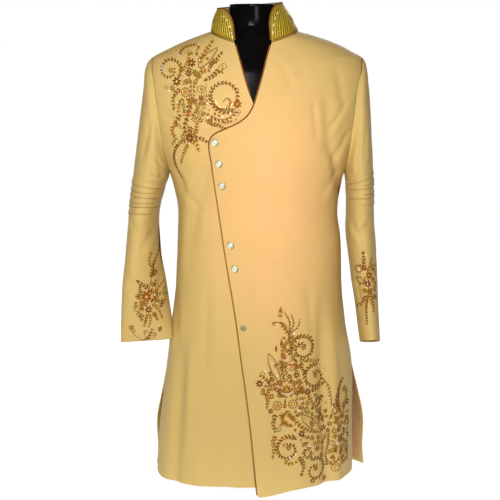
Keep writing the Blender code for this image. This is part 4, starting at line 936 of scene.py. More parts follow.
@dataclass(frozen=True)
class Sleeve:
    """A sleeve in two halves: the top one with its tucks and the under one, a seam apart,
    and the lining inside its cuff."""

    wearer: str
    side: int
    rings: tuple[tuple[float, ...], ...]
    tuck_rows: tuple[tuple[float, float], ...]
    small: Table
    seams: tuple[float, float] = (math.radians(12), math.radians(166))
    seam_turn: float = 0.009
    top_columns: int = 46
    under_columns: int = 50
    tuck_rise: float = 0.0020
    tuck_length: float = 0.0125
    shade_width: float = 0.0007
    cuff_shares: tuple[float, float] = (0.935, 0.993)
    round_metres: float = 0.045

    def read(self, name: str, share: Array) -> Array:
        """The named column of the rings at these shares of the sleeve's length."""
        data = np.array(self.rings, float)[:, SLEEVE_COLUMNS.index(name)]
        return smooth(share, np.linspace(0, 1, len(data)), data)

    def ring(self, share: Array, theta: Array) -> Array:
        """A point of the plain sleeve: an ellipse between its outer and its inner point,
        pitched forward and sheared.

        Args:
            share: from the armhole (0) to the cuff (1).
            theta: from the outer side (0) over the front to the inner side (pi).

        Returns:
            The points.
        """
        pitch = np.radians(self.read("pitch", share))
        across_x = (self.read("outer_x", share) - self.read("inner_x", share)) / 2
        across_z = (self.read("outer_z", share) - self.read("inner_z", share)) / 2
        cosine = np.cos(theta)
        deep = self.read("half_depth", share) * np.sin(theta)
        x = (self.read("outer_x", share) + self.read("inner_x", share)) / 2 + across_x * cosine
        y = self.read("centre_y", share) - deep * np.cos(pitch)
        y = y + self.read("shear", share) * across_x * cosine
        z = (self.read("outer_z", share) + self.read("inner_z", share)) / 2 + across_z * cosine
        return np.stack(np.broadcast_arrays(x, y, z + deep * np.sin(pitch)), axis=-1)

    def armhole(self, theta: Array) -> Array:
        """A point of the armhole seam: theta is 0 at the shoulder's end, a quarter turn
        at the front and half a turn at the armpit."""
        middle, half = (SHOULDER_END + ARMPIT) / 2, (SHOULDER_END - ARMPIT) / 2
        height = middle + half * np.cos(theta)
        front = FRONT_BODY.point(side_angle(FRONT_BODY, self.side, height), height)
        back = BACK_BODY.point(side_angle(BACK_BODY, self.side, height), height)
        return np.where((np.sin(theta) >= 0)[..., None], front, back)

    def clear_of_body(self, point: Array) -> Array:
        """The points below the underarm, moved out sideways where they would lie inside
        the body."""
        underarm = 0.79
        x, y, z = point[..., 0], point[..., 1], point[..., 2]
        height = np.clip(z, 0.3, SHOULDER_END)
        least = []
        for body in (FRONT_BODY, BACK_BODY):
            s = body.section(height)
            square = s["square_left"] if self.side < 0 else s["square_right"]
            share = np.clip(np.abs(y) / s["depth"], 0, 0.999)
            reach = (1 - share ** square) ** (1 / square)
            centre, half = (s["left"] + s["right"]) / 2, (s["right"] - s["left"]) / 2
            least.append(centre + self.side * half * reach)
        surface = np.where(y < 0, least[0], least[1]) + self.side * SEAM_GAP * 1.6
        moved = np.maximum(x * self.side, surface * self.side) * self.side
        return np.stack([np.where(z < underarm, moved, x), y, z], axis=-1)

    def point(self, share: Array, theta: Array) -> Array:
        """A point of the sleeve, joined smoothly to the armhole seam."""
        ring, seam = self.ring(share, theta), self.armhole(theta)
        near_top = smooth_step((seam[..., 2] - 0.928) / 0.04)
        seam[..., 0] += self.side * SEAM_GAP * (1 + 1.5 * near_top)
        blend = smooth_step(share / 0.075)[..., None]
        return self.clear_of_body(seam * (1 - blend) + ring * blend)

    def normal(self, share: Array, theta: Array) -> Array:
        """The outward normal; at the armhole it lies in the seam's plane."""
        step, turn = 0.004, 0.02
        after = self.point(np.minimum(share + step, 1), theta)
        before = self.point(np.maximum(share - step, 0), theta)
        across = self.point(share, theta + turn) - self.point(share, theta - turn)
        normal = unit(np.cross(across, after - before) * self.side)
        here = self.point(share, theta)
        radial = here - (here + self.point(share, theta + math.pi)) / 2
        radial[..., 0] = 0
        blend = smooth_step(share / 0.06)[..., None]
        return unit(unit(radial) * (1 - blend) + normal * blend)

    def share_at(self, height: Array) -> Array:
        """The share at which the sleeve's outer side passes this height."""
        knots = np.linspace(0, 1, 400)
        return np.interp(-np.asarray(height, float), -self.read("outer_z", knots), knots)

    def reached(self, reach: float, theta: Array) -> Array | int:
        """1 where a tuck runs that spans this share of the half, and 0 beyond its end."""
        along = (theta - self.seams[0]) / (self.seams[1] - self.seams[0])
        return 1 if reach >= 1 else smooth_step((reach - along) / 0.10 + 0.5)

    def tucks(self, share: Array, theta: Array) -> Array:
        """How far the tucks stand out: each falls away evenly above its lip and ends
        sharply at it."""
        height = self.read("outer_z", share)
        rise = np.zeros(np.broadcast(share, theta).shape)
        for lip, reach in self.tuck_rows:
            above = (height - lip) / self.tuck_length
            shape = np.where((above >= 0) & (above < 1), 1 - above, 0)
            rise = rise + self.tuck_rise * shape * self.reached(reach, theta)
        return rise

    def lip_shade(self, share: Array, theta: Array) -> Array:
        """The painted shade right under each tuck's lip: 1 in the fold there, and 0 away from it."""
        height = self.read("outer_z", share)
        shade = np.zeros(np.broadcast(share, theta).shape)
        for lip, reach in self.tuck_rows:
            below = (height - lip + self.shade_width) / self.shade_width
            shade = shade + np.exp(-(below ** 2)) * self.reached(reach, theta)
        return shade

    def small_rise(self, share: Array, theta: Array) -> Array:
        """How far the smaller creases move the cloth, none at the armhole, at the cuff
        and under the tucks."""
        height = self.read("outer_z", share)
        turn = np.where(theta > math.pi, theta - 2 * math.pi, theta) * self.round_metres
        clear = smooth_step((share - 0.03) / 0.06) * smooth_step((1 - share) / 0.05)
        tucked = smooth_step(np.abs(height - 0.672) / 0.06 - 0.35)
        rise = creases(self.small, turn, height) * tucked + 0.0004 * uneven(turn, height, 0.02)
        return rise * clear

    def rows(self) -> Array:
        """The shares of the rows: even ones, and close pairs at each tuck's lip."""
        even = refine(np.array([0, 0.04, 0.075, 0.11, 0.21, 0.31, 0.41, 0.51, 0.61, 0.71, 0.81,
                                0.91, 1.0]), 8)
        lips = np.array(self.tuck_rows)[:, 0]
        offsets = (0.0001, -0.0007, -0.0024, 0.006, self.tuck_length)
        close = self.share_at(np.concatenate([lips + offset for offset in offsets]))
        clear = [share for share in even if np.abs(close - share).min() > 0.0025]
        rows = np.sort(np.concatenate([clear, close]))
        return rows[np.concatenate([[True], np.diff(rows) > 0.0004])]

    def build_half(self, top: bool) -> tuple[bpy.types.Object, Array]:
        """One half as a piece.

        Args:
            top: the tucked top half, or else the under half.

        Returns:
            The piece and its grid of outer points; tucks are raised on the outside only.
        """
        first, last = self.seams
        if top:
            angles = np.linspace(first + self.seam_turn, last - self.seam_turn, self.top_columns)
        else:
            angles = np.linspace(last + self.seam_turn, first + 2 * math.pi - self.seam_turn,
                                 self.under_columns)
        share, theta = np.meshgrid(self.rows(), angles, indexing="ij")
        normal = self.normal(share, theta)
        point = self.point(share, theta) + normal * self.small_rise(share, theta)[..., None]
        outer = point + normal * (self.tucks(share, theta) if top else share * 0)[..., None]
        half = "top" if top else "under"
        # Painted shade: a thin dark line in the silk right under each tuck's lip, carried as the attribute
        # tint.
        shade = self.lip_shade(share, theta) if top else None
        name = f"panel_sleeve_{self.wearer}_{half}"
        return shell(name, outer, point - normal * CLOTH, shade=shade), outer

    def build_cuff_lining(self) -> tuple[bpy.types.Object, Array]:
        """The lining inside the cuff, a short tube a cloth and a gap inside it, and its
        outer points."""
        first, last = self.cuff_shares
        turn = np.linspace(0, 2 * math.pi, 72, endpoint=False)
        share, theta = np.meshgrid(np.linspace(first, last, 8), turn, indexing="ij")
        normal = self.normal(share, theta)
        near = self.point(share, theta) + normal * self.small_rise(share, theta)[..., None]
        near = near - normal * (CLOTH + SEAM_GAP)
        name = f"cuff_lining_{self.wearer}"
        return shell(name, near, near - normal * LINING, closed=True), near

    def place(self, x: Array, height: Array, lift: Array) -> Array:
        """Points on the front of the sleeve's lower half, found by Newton's method.

        Args:
            x: where, seen from the front.
            height: how high.
            lift: how far above the cloth.

        Returns:
            The points.
        """
        knots = np.linspace(0.3, 1, 200)
        middle = (self.read("outer_z", knots) + self.read("inner_z", knots)) / 2
        share = np.interp(-height, -middle, knots)
        outer, inner = self.read("outer_x", share), self.read("inner_x", share)
        lean = np.clip((x - (outer + inner) / 2) * 2 / (outer - inner), -0.98, 0.98)
        theta = np.arccos(lean)
        step = 0.002
        for _ in range(6):
            here = self.ring(share, theta)
            by_share = (self.ring(share + step, theta) - here) / step
            by_theta = (self.ring(share, theta + step) - here) / step
            off_x, off_z = x - here[..., 0], height - here[..., 2]
            scale = by_share[..., 0] * by_theta[..., 2] - by_share[..., 2] * by_theta[..., 0]
            scale = np.where(np.abs(scale) < 1e-5, 1e-5, scale)
            move = (off_x * by_theta[..., 2] - off_z * by_theta[..., 0]) / scale
            turn = (by_share[..., 0] * off_z - by_share[..., 2] * off_x) / scale
            share = np.clip(share + np.clip(move, -0.08, 0.08), 0.3, 0.998)
            theta = np.clip(theta + np.clip(turn, -0.3, 0.3), 0.02, math.pi - 0.02)
        out = self.small_rise(share, theta) + lift
        return self.point(share, theta) + self.normal(share, theta) * out[..., None]


@dataclass(frozen=True)
class Collar:
    """The stand collar: a band from the neckline up to a round top edge, bowed out a
    little halfway, with its two front corners rounded off."""

    top: float = 1.0935
    tilt: float = 0.09
    top_centre: float = -0.0165
    top_half: float = 0.0715
    top_front: float = 0.064
    top_back: float = 0.060
    corner: float = 0.045
    end_height: float = 0.42
    opening: float = 0.53
    back_rise: float = 0.004
    bow: float = 0.0025
    count: int = 241
    end_share: float = 0.13

    def shares(self, near: int, middle: int) -> Array:
        """Shares along the collar, close together at its two rounded ends.

        Args:
            near: how many lie at each end.
            middle: how many lie between, with the two where the ends begin.

        Returns:
            The shares from 0 to 1; at an end they grow as 1 - cos.
        """
        start = self.end_share * (1 - np.cos(np.linspace(0, math.pi / 2, near)))
        inner = np.linspace(self.end_share, 1 - self.end_share, middle)[1:-1]
        return np.concatenate([start, inner, (1 - start)[::-1]])

    def neckline(self) -> tuple[Array, float]:
        """Points of the neckline on the coat's surface, from the right of the view round
        the back to the left, and its length."""
        rise = np.linspace(0, 1, 60)
        height = NECK_FRONT + (NECK_SIDE - NECK_FRONT) * rise
        right = NECK_CENTRE + neck_half_at(height) - TOP_NECK_TRIM * (1 - rise)
        left = NECK_CENTRE - neck_half_at(height) - UNDER_NECK_TRIM * (1 - rise)
        turn = np.linspace(0, math.pi, 120)[1:-1]
        x = NECK_CENTRE + NECK_HALF * np.cos(turn)
        behind = NECK_SIDE + (NECK_BACK - NECK_SIDE) * np.sin(turn) ** 2
        points = np.concatenate([
            FRONT_BODY.point(FRONT_BODY.angle_at(right, height), height),
            BACK_BODY.point(BACK_BODY.angle_at(x, behind), behind),
            FRONT_BODY.point(FRONT_BODY.angle_at(left, height), height)[::-1],
        ])
        along = path_length(points)
        return between(np.linspace(0, along[-1], self.count), along, points), along[-1]

    def length(self) -> float:
        """The length of the neckline that the collar is sewn to."""
        return self.neckline()[1]

    def top_edge(self) -> Array:
        """Points of the upper edge: an oval, open in front and tilted up to one side."""
        start = math.asin(self.opening)
        turn = np.linspace(start, 2 * math.pi - start, self.count)
        x = self.top_centre + self.top_half * np.sin(turn)
        ahead = np.cos(turn)
        y = -np.where(ahead > 0, self.top_front, self.top_back) * ahead
        z = self.top + self.tilt * (x - self.top_centre) + self.back_rise * (1 - ahead) / 2
        return np.stack([x, y, z], axis=1)

    def reach(self, along: Array) -> Array:
        """How high the band reaches, from the length along it: quarter circles at its
        two ends."""
        from_end = np.minimum(along, self.length() - along)
        t = np.clip(from_end / self.corner, 0, 1)
        return self.end_height + (1 - self.end_height) * np.sqrt(1 - (1 - t) ** 2)

    def point(self, share: Array, up: Array) -> Array:
        """A point of the collar, from its share along and its share up."""
        base = self.neckline()[0] + np.array([0, 0, SEAM_GAP * 3])
        top, fine = self.top_edge(), np.linspace(0, 1, self.count)
        low, high = between(share, fine, base), between(share, fine, top)
        point = low * (1 - up)[..., None] + high * up[..., None]
        out = low - np.array([NECK_CENTRE, 0, 0])
        out[..., 2] = 0
        return point + unit(out) * (self.bow * np.sin(math.pi * up))[..., None]

    def normal(self, share: Array, up: Array) -> Array:
        """The level normal that points to the inside of the band."""
        step = 0.004
        across = self.point(np.minimum(share + step, 1), up)
        across = across - self.point(np.maximum(share - step, 0), up)
        return -unit(np.stack([across[..., 1], -across[..., 0], np.zeros_like(up)], axis=-1))

    def place(self, along: Array, up: Array, lift: Array) -> Array:
        """Points on the collar's outside, from the metres along it, the share up it and
        the height above it."""
        share = along / self.length()
        return self.point(share, up) - self.normal(share, up) * (CLOTH + np.asarray(lift))[..., None]

    def ground(self, along: Array, height: Array, lift: Array) -> Array:
        """The collar's outside, from metres along it, metres up it and the height above."""
        return self.place(along, height / COLLAR_HEIGHT, lift)

    def build(self) -> tuple[bpy.types.Object, Array]:
        """The collar as a piece, and its inner points, from which it grows outwards."""
        share, level = np.meshgrid(self.shares(26, 90), np.linspace(0, 1, 14), indexing="ij")
        up = level * self.reach(share * self.length())
        near_neck = self.point(share, up)
        return shell("panel_collar", near_neck, near_neck - self.normal(share, up) * CLOTH), near_neck


@dataclass(frozen=True)
class Piping:
    """The twisted cords sewn along the edges of the fronts and of the collar."""

    top_front: Front
    under_front: Front
    collar: Collar

    def along_front(self, front: Front, low: float, high: float) -> Array:
        """A route just off a front's edge, halfway through its wall.

        Args:
            front: the front whose edge it follows.
            low: the height at which it starts.
            high: the height at which it ends.

        Returns:
            The points of the route.
        """
        rows = refine(PANEL_HEIGHTS, 8)
        height = np.concatenate([[low], rows[(rows > low) & (rows < high)], [high]])
        x = front.edge.read("x", height)
        angle = FRONT_BODY.angle_at(x, height)
        point, normal = FRONT_BODY.point(angle, height), FRONT_BODY.normal(angle, height)
        point = point + normal * (front.rise(x, height) - CLOTH / 2)[:, None]
        away = unit(np.cross(normal, unit(np.gradient(point, axis=0)))) * front.side
        return point + away * (PIPING_RADIUS + SEAM_GAP)

    def round_collar(self) -> Array:
        """The route up one front end of the collar, along its top and down the other."""
        length = self.collar.length()
        shares = self.collar.shares(16, 60)
        edge = self.collar.point(shares, self.collar.reach(shares * length))
        start = self.collar.point(np.zeros(3), np.array([0.06, 0.15, 0.24]))
        end = self.collar.point(np.ones(3), np.array([0.24, 0.15, 0.06]))
        points = np.concatenate([start, edge, end])
        at = np.concatenate([np.zeros(3), shares, np.ones(3)])
        normal = self.collar.normal(at, np.full(len(at), 0.5))
        middle = points - normal * CLOTH / 2
        away = unit(np.cross(normal, unit(np.gradient(middle, axis=0))))
        away = away * np.sign(away[:, 2:] + 1e-6)
        away[:3] = unit(np.array([-1.0, -0.45, 0.0]))
        away[-3:] = unit(np.array([1.0, -0.45, 0.0]))
        away[3], away[-4] = unit(away[2] + away[4]), unit(away[-3] + away[-5])
        return middle + away * (PIPING_RADIUS + SEAM_GAP)

    def build(self) -> dict[str, bpy.types.Object]:
        """The three cords, by the node that each replaces."""
        top_of = NECK_FRONT - 0.004
        radius = PIPING_RADIUS * 1.2
        slant = self.along_front(self.top_front, HEM_LOW + 0.004, top_of)
        neck = self.along_front(self.under_front, 0.906, top_of)
        return {
            "piping_front": twisted_cord("cord_front", slant, radius),
            "piping_neck": twisted_cord("cord_neck", neck, radius),
            "piping_collar": twisted_cord("cord_collar", self.round_collar(), radius),
        }


class ButtonKind(Enum):
    """The two kinds of button, each with its outer radius."""

    PEARL = 0.0082
    PRESS = 0.0065


@dataclass(frozen=True)
class Buttons:
    """Five domed pearl buttons in metal rims and a flat press button, from the chest
    down, each turned on the cloth's normal."""

    front: Front
    places: tuple[tuple[float, float], ...] = (
        (-0.0925, 0.8030), (-0.0840, 0.7560), (-0.0770, 0.7080), (-0.0590, 0.5750),
        (-0.0500, 0.5230), (-0.0310, 0.3920),
    )

    def profile(self, kind: ButtonKind) -> Array:
        """Radius and height from the underside round the rim to the crown: a rolled rim
        as a half circle, then a dome, or a dish with a raised centre."""
        turn = np.linspace(-math.pi / 2, math.pi * 0.7, 12)
        radius = kind.value
        rim = np.stack([radius - 0.0011 + 0.0011 * np.cos(turn), 0.0011 + 0.0011 * np.sin(turn)], axis=1)
        out = np.linspace(1, 0.02, 16)
        inside = radius - 0.0018
        if kind is ButtonKind.PEARL:
            crown = np.stack([out * inside, 0.0016 + 0.0030 * np.sqrt(1 - (out * 0.98) ** 2)], axis=1)
        else:
            dish = 0.0012 + 0.0006 * smooth_step((0.62 - out) / 0.1)
            crown = np.stack([out * inside, dish], axis=1)
        return np.concatenate([[[radius * 0.4, 0.0]], rim, crown])

    def build(self) -> list[tuple[bpy.types.Object, ButtonKind]]:
        """The buttons from the top down, each with its kind."""
        made = []
        for index, (x, height) in enumerate(self.places, start=1):
            kind = ButtonKind.PEARL if index < len(self.places) else ButtonKind.PRESS
            at, tall = np.array([x]), np.array([height])
            normal = FRONT_BODY.normal(FRONT_BODY.angle_at(at, tall), tall)[0]
            seat = self.front.place(at, tall, np.array([SEAM_GAP]))[0]
            piece = turned(f"turned_button_{index}", self.profile(kind), seat, normal, bands=(13,))
            made.append((piece, kind))
        return made


@dataclass(frozen=True)
class DressForm:
    """The limbless form with its cap, pole and oval base."""

    bottom: float = 0.348
    top: float = 1.095
    cap_thickness: float = 0.006
    pole_radius: float = 0.0125
    base_half_width: float = 0.160
    base_half_depth: float = 0.092
    base_thickness: float = 0.008
    boss_radius: float = 0.026
    boss_height: float = 0.026
    seat_gap: float = 0.0003
    around: int = 112
    insets: Table = Table(("height", "inset", "plate"), (
        (0.348, 0.020, 0.300), (0.518, 0.015, 0.300), (0.637, 0.014, 0.300), (0.723, 0.011, 0.192),
        (0.788, 0.010, 0.200), (0.888, 0.0085, 0.206), (0.938, 0.0060, 0.212),
        (0.973, 0.0048, 0.220), (1.028, 0.0045, 0.300), (1.042, 0.0055, 0.300),
        (1.054, 0.0050, 0.300), (1.108, 0.0010, 0.300),
    ))

    def build_torso(self) -> bpy.types.Object:
        """Torso and neck in one smooth body: the coat's plain sections drawn in by the
        inset, cut flat at the armholes, and rounded in at its lower edge."""
        heights = np.concatenate([
            self.bottom + 0.012 * (1 - np.cos(np.linspace(0, math.pi / 2, 6))),
            np.linspace(0.37, 0.93, 48)[1:], np.linspace(0.93, self.top, 60)[1:],
        ])
        theta = np.linspace(0, 2 * math.pi, self.around, endpoint=False)
        tall, theta = np.meshgrid(heights, theta, indexing="ij")
        ahead = (np.cos(theta) >= 0)[..., None]
        turned_back = math.pi - theta
        front, back = FRONT_BODY.point(theta, tall), BACK_BODY.point(turned_back, tall)
        normal = np.where(ahead, FRONT_BODY.normal(theta, tall), BACK_BODY.normal(turned_back, tall))
        ring = np.where(ahead, front, back) - normal * self.insets.read("inset", tall)[..., None]
        plate = self.insets.read("plate", tall)
        ring[..., 0] = np.clip(ring[..., 0], -plate - 0.002, plate - 0.002)
        near_bottom = np.clip((tall - self.bottom) / 0.012, 0, 1)
        ring[..., :2] *= (0.94 + 0.06 * np.sqrt(1 - (1 - near_bottom) ** 2))[..., None]
        ring[..., 2] = tall
        return self.closed_rings("moulded_torso", ring)

    def closed_rings(self, name: str, rings: Array) -> bpy.types.Object:
        """A body from stacked rings, closed at both ends by fans drawn to the middle.

        Args:
            name: the piece's name.
            rings: the rings of points, from one end to the other.

        Returns:
            The piece.
        """
        rows, columns = rings.shape[:2]
        tips = np.stack([rings[0].mean(axis=0), rings[-1].mean(axis=0)])
        faces = [grid_faces(rows, columns, True), *end_fans(rows, columns)]
        return build_mesh(name, np.concatenate([rings.reshape(-1, 3), tips]), faces, sharp=40)

    def build_cap(self) -> bpy.types.Object:
        """The cap on the neck: a disc with a rounded edge and a slightly domed top."""
        rim = FRONT_BODY.section(np.array([self.top]))
        half = float((rim["right"] - rim["left"])[0]) / 2 - 0.003
        centre = float((rim["right"] + rim["left"])[0]) / 2
        turn = np.linspace(0, math.pi / 2, 8)
        edge = np.stack([half - 0.0035 + 0.0035 * np.cos(turn),
                         self.cap_thickness - 0.0035 + 0.0025 * np.sin(turn)], axis=1)
        out = np.linspace(half - 0.0045, 0.001, 14)
        dome = np.stack([out, self.cap_thickness - 0.001 + 0.001 * (1 - (out / half) ** 2)], axis=1)
        profile = np.concatenate([[[half - 0.001, 0.0], [half, 0.0006]], edge, dome])
        place = np.array([centre, 0, self.top + self.seat_gap])
        return turned("domed_neck_cap", profile, place, np.array([0.0, 0, 1]), around=96)

    def build_pole(self) -> bpy.types.Object:
        """The tube that carries the form, with a collar ring where it meets the boss."""
        low, high = self.boss_height + self.seat_gap, self.bottom - self.seat_gap
        radius = self.pole_radius
        profile = np.array([
            (radius, 0.0), (radius, 0.012), (radius * 0.93, 0.013), (radius * 0.93, high - low - 0.014),
            (radius, high - low - 0.013), (radius, high - low),
        ])
        return turned("tube_pole", profile, np.array([0, 0, low]), np.array([0.0, 0, 1]), around=64)

    def build_base(self) -> bpy.types.Object:
        """The oval plate with a rounded upper edge and a round boss for the pole."""
        turn = np.linspace(0, math.pi / 2, 7)
        round_edge = 0.0035
        edge = [(self.base_half_width - round_edge * (1 - math.cos(a)),
                 self.base_thickness - round_edge * (1 - math.sin(a))) for a in turn]
        hollow = [(self.boss_radius + 0.005 * (1 - math.sin(a)),
                   self.base_thickness + 0.004 * (1 - math.cos(a))) for a in turn]
        shoulder = [(self.boss_radius - 0.004 * (1 - math.cos(a)),
                     self.boss_height - 0.004 * (1 - math.sin(a))) for a in turn]
        outline = [(self.base_half_width - 0.001, 0.0), (self.base_half_width, 0.001), *edge,
                   (0.1, self.base_thickness), *hollow, *shoulder]
        around = np.linspace(0, 2 * math.pi, 96, endpoint=False)
        slim = self.base_half_width - self.base_half_depth
        rings = []
        for half_width, height in outline:
            share = np.clip((half_width - self.boss_radius - 0.005) / (self.base_half_width - 0.04), 0, 1)
            depth = half_width - slim * share if half_width < 0.15 else half_width - slim
            rings.append(np.stack([half_width * np.cos(around), depth * np.sin(around),
                                   np.full(around.shape, height)], axis=1))
        return self.closed_rings("oval_base", np.array(rings))


class Tint(Enum):
    """The threads, sequins and beads of the embroidery, as linear colours."""

    GOLD = (0.370, 0.160, 0.005)
    OLD_GOLD = (0.245, 0.092, 0.002)
    BROWN = (0.160, 0.053, 0.001)
    WINE = (0.180, 0.040, 0.001)
    COPPER = (0.330, 0.098, 0.002)
    GREEN = (0.230, 0.180, 0.006)
    LIME = (0.470, 0.560, 0.050)
    BRIGHT = (0.900, 0.620, 0.200)
    ORANGE = (0.850, 0.240, 0.020)
    LILAC = (0.620, 0.500, 0.820)
    WHITE = (0.900, 0.880, 0.840)
    YELLOW = (0.860, 0.580, 0.040)


Point = tuple[float, float]
Ground = Callable[[Array, Array, Array], Array]


def heading(points: Array) -> Array:
    """The direction of a path at each of its points, as an angle."""
    step = np.gradient(points, axis=0)
    return np.arctan2(step[:, 1], step[:, 0])


@dataclass
class Needlework:
    """One embroidered area. Motifs are given in millimetres, across and up as seen from
    the front, and kept as rows of leaves, stems, sequins and beads, which are then laid
    on the cloth as joined meshes."""

    leaf_gap: ClassVar[float] = 1.9
    leaf_stretch: ClassVar[tuple[float, float]] = (1.2, 1.55)
    round_sides: ClassVar[int] = 8
    disc: ClassVar[tuple[Point, ...]] = ((0.92, -0.10), (1.0, 0.10), (0.86, 0.20), (0.30, 0.10))
    dome: ClassVar[tuple[Point, ...]] = ((0.72, -0.15), (1.0, 0.35), (0.74, 0.82))

    area: str
    ground: Ground
    seed: int
    leaves: list[tuple[float, ...]] = field(default_factory=list)
    stems: list[tuple[Array, float, Tint]] = field(default_factory=list)
    sequins: list[tuple[float, ...]] = field(default_factory=list)
    beads: list[tuple[float, ...]] = field(default_factory=list)

    def __post_init__(self) -> None:
        """Starts the area's own random numbers, for the unevenness of handwork."""
        self.random = np.random.default_rng(self.seed)

    def leaf(self, x: float, z: float, angle: float, length: float, width: float, tint: Tint,
             bend: float = 0.0) -> None:
        """A satin-stitched leaf.

        Args:
            x: where its root is.
            z: how high its root is.
            angle: the way it points, in radians.
            length: from root to tip.
            width: at its widest.
            tint: its thread.
            bend: how far its tip swings sideways, as a share of its length.
        """
        self.leaves.append((x, z, angle, length, width, bend, *tint.value))

    def stem(self, points: Sequence[Point], width: float = 1.0, tint: Tint = Tint.OLD_GOLD) -> Array:
        """A couched cord through the points; returns its smooth path."""
        path = rounded(points, 1.25)
        self.stems.append((path, width, tint))
        return path

    def bead(self, x: float, z: float, radius: float, tint: Tint) -> None:
        """A round bead or stone."""
        self.beads.append((x, z, radius, *tint.value))

    def sequin(self, x: float, z: float, radius: float = 1.4, tint: Tint = Tint.BRIGHT) -> None:
        """A small sequin."""
        self.sequins.append((x, z, radius, *tint.value))

    def bead_row(self, points: Sequence[Point], radius: float = 0.9, step: float = 2.4,
                 tint: Tint = Tint.GOLD) -> None:
        """Beads along a smooth path."""
        for x, z in rounded(points, step):
            self.bead(x, z, radius, tint)

    def sequin_row(self, points: Sequence[Point], radius: float = 1.2, step: float = 2.6,
                   tint: Tint = Tint.BRIGHT) -> None:
        """Sequins along a smooth path."""
        for x, z in rounded(points, step):
            self.sequin(x, z, radius, tint)

    def leaf_path(self, path: Array, length: float, step: float, tint: Tint,
                  sides: Sequence[int] = (1, -1), spread: float = 0.85,
                  grow: tuple[float, float] = (1.0, 0.7), fat: float = 0.54) -> None:
        """Leaves along a path.

        Args:
            path: the path that they grow from.
            length: about two thirds of the length of a leaf.
            step: about half the distance between leaves on one side.
            tint: their thread.
            sides: 1 for the left of the path, -1 for the right.
            spread: the angle between leaf and path, in radians.
            grow: the size at the start and at the end of the path.
            fat: a leaf's width as a share of its length.
        """
        spots = evenly(path, step * self.leaf_gap)
        angles = heading(spots)
        for number, ((x, z), angle) in enumerate(zip(spots, angles)):
            size = length * np.interp(number / max(len(spots) - 1, 1), (0, 1), grow)
            for side in sides:
                jitter = self.random.normal(0, 0.10)
                own = size * self.random.uniform(*self.leaf_stretch)
                self.leaf(x, z, angle + side * (spread + jitter), own, own * fat, tint, -0.16 * side)

    def sprig(self, points: Sequence[Point], leaf: float, step: float, tint: Tint) -> None:
        """A stem with leaves along it and one at its tip."""
        path = self.stem(points, 0.9)
        self.leaf_path(path[2:], leaf, step, tint)
        self.leaf(*path[-1], heading(path)[-1], leaf * 1.5, leaf * 0.6, tint)

    def ring(self, centre: Point, radius: float, start: float, sweep: float, end_radius: float,
             leaf: float, step: float, tint: Tint, stem_tint: Tint = Tint.BROWN) -> Array:
        """A round scroll whose leaves stand outwards, with short ones inside.

        Args:
            centre: its centre.
            radius: its radius where it starts.
            start: the angle at which it starts, in degrees.
            sweep: how far it turns, in degrees, below zero for clockwise.
            end_radius: its radius at its inner end.
            leaf: the length of the outer leaves.
            step: the distance between leaves.
            tint: the thread of the leaves.
            stem_tint: the thread of the stem.

        Returns:
            The path of its stem: a spiral whose radius shrinks along a smooth ramp.
        """
        t = np.linspace(0, 1, 90)
        turn = np.radians(start + sweep * t)
        reach = radius + (end_radius - radius) * smooth_step((t - 0.45) / 0.55)
        spiral = np.stack([centre[0] + reach * np.cos(turn), centre[1] + reach * np.sin(turn)], axis=1)
        path = evenly(spiral, 1.25)
        self.stems.append((path, 1.2, stem_tint))
        outside = -1 if sweep > 0 else 1
        step *= 0.95
        self.leaf_path(path, leaf * 0.95, step, tint, (outside,), 0.80, (1.0, 0.6))
        self.leaf_path(path[4:], leaf * 0.6, step, tint, (-outside,), 0.80)
        return path

    def flower(self, x: float, z: float, radius: float, tint: Tint = Tint.BROWN, petals: int = 6,
               centre: Tint = Tint.BRIGHT, turn: float = 0.3) -> None:
        """An open flower of pointed petals round a sequin and a bead."""
        for petal in range(petals):
            angle = turn + 2 * math.pi * petal / petals + self.random.normal(0, 0.05)
            root = radius * 0.16
            self.leaf(x + root * math.cos(angle), z + root * math.sin(angle), angle, radius * 1.05,
                      radius * 0.52, tint)
        self.sequin(x, z, radius * 0.26, centre)
        self.bead(x, z, radius * 0.14, Tint.GOLD)

    def rosette(self, x: float, z: float, radius: float, tint: Tint = Tint.OLD_GOLD,
                centre: Tint = Tint.GREEN) -> None:
        """A round rosette: an outer ring of short petals, a ring of sequins, a ring of
        inner petals and a stone."""
        for ring_radius, size, count, colour in ((0.62, 0.46, 14, tint), (0.20, 0.42, 8, Tint.GOLD)):
            reach = radius * ring_radius
            for angle in 2 * math.pi * np.arange(count) / count:
                self.leaf(x + reach * math.cos(angle), z + reach * math.sin(angle), angle, radius * size,
                          radius * 0.27, colour)
        reach = radius * 0.56
        for angle in 2 * math.pi * np.arange(12) / 12:
            self.sequin(x + reach * math.cos(angle), z + reach * math.sin(angle), radius * 0.1)
        self.bead(x, z, radius * 0.2, centre)

    def paisley(self, points: Sequence[Point], width: float = 1.3, tint: Tint = Tint.OLD_GOLD) -> None:
        """A pointed paisley: its outline as a thick cord, and a finer one inside it drawn
        towards the middle, with a row of small sequins between."""
        path = self.stem([*points, points[0]], width, tint)
        middle = path.mean(axis=0)
        inside = middle + (path - middle) * 0.72
        self.stems.append((inside, 0.6, Tint.GOLD))
        for x, z in evenly(middle + (path - middle) * 0.30, 4.5):
            self.sequin(x, z, 0.9, Tint.BRIGHT)

    def feather(self, points: Sequence[Point], length: float, tint: Tint = Tint.OLD_GOLD,
                side: int = -1) -> None:
        """A crescent of long overlapping strokes that all fan to one side of a spine."""
        path = self.stem(points, 1.0, Tint.BROWN)
        spots = evenly(path, 3.3)
        angles = heading(spots)
        for number, ((x, z), angle) in enumerate(zip(spots, angles)):
            share = number / max(len(spots) - 1, 1)
            size = length * (0.55 + 0.45 * math.sin(math.pi * share))
            colour = tint if number % 2 else Tint.GOLD
            self.leaf(x, z, angle + side * (1.0 - 0.5 * share), size, size * 0.21, colour, 0.2 * side)

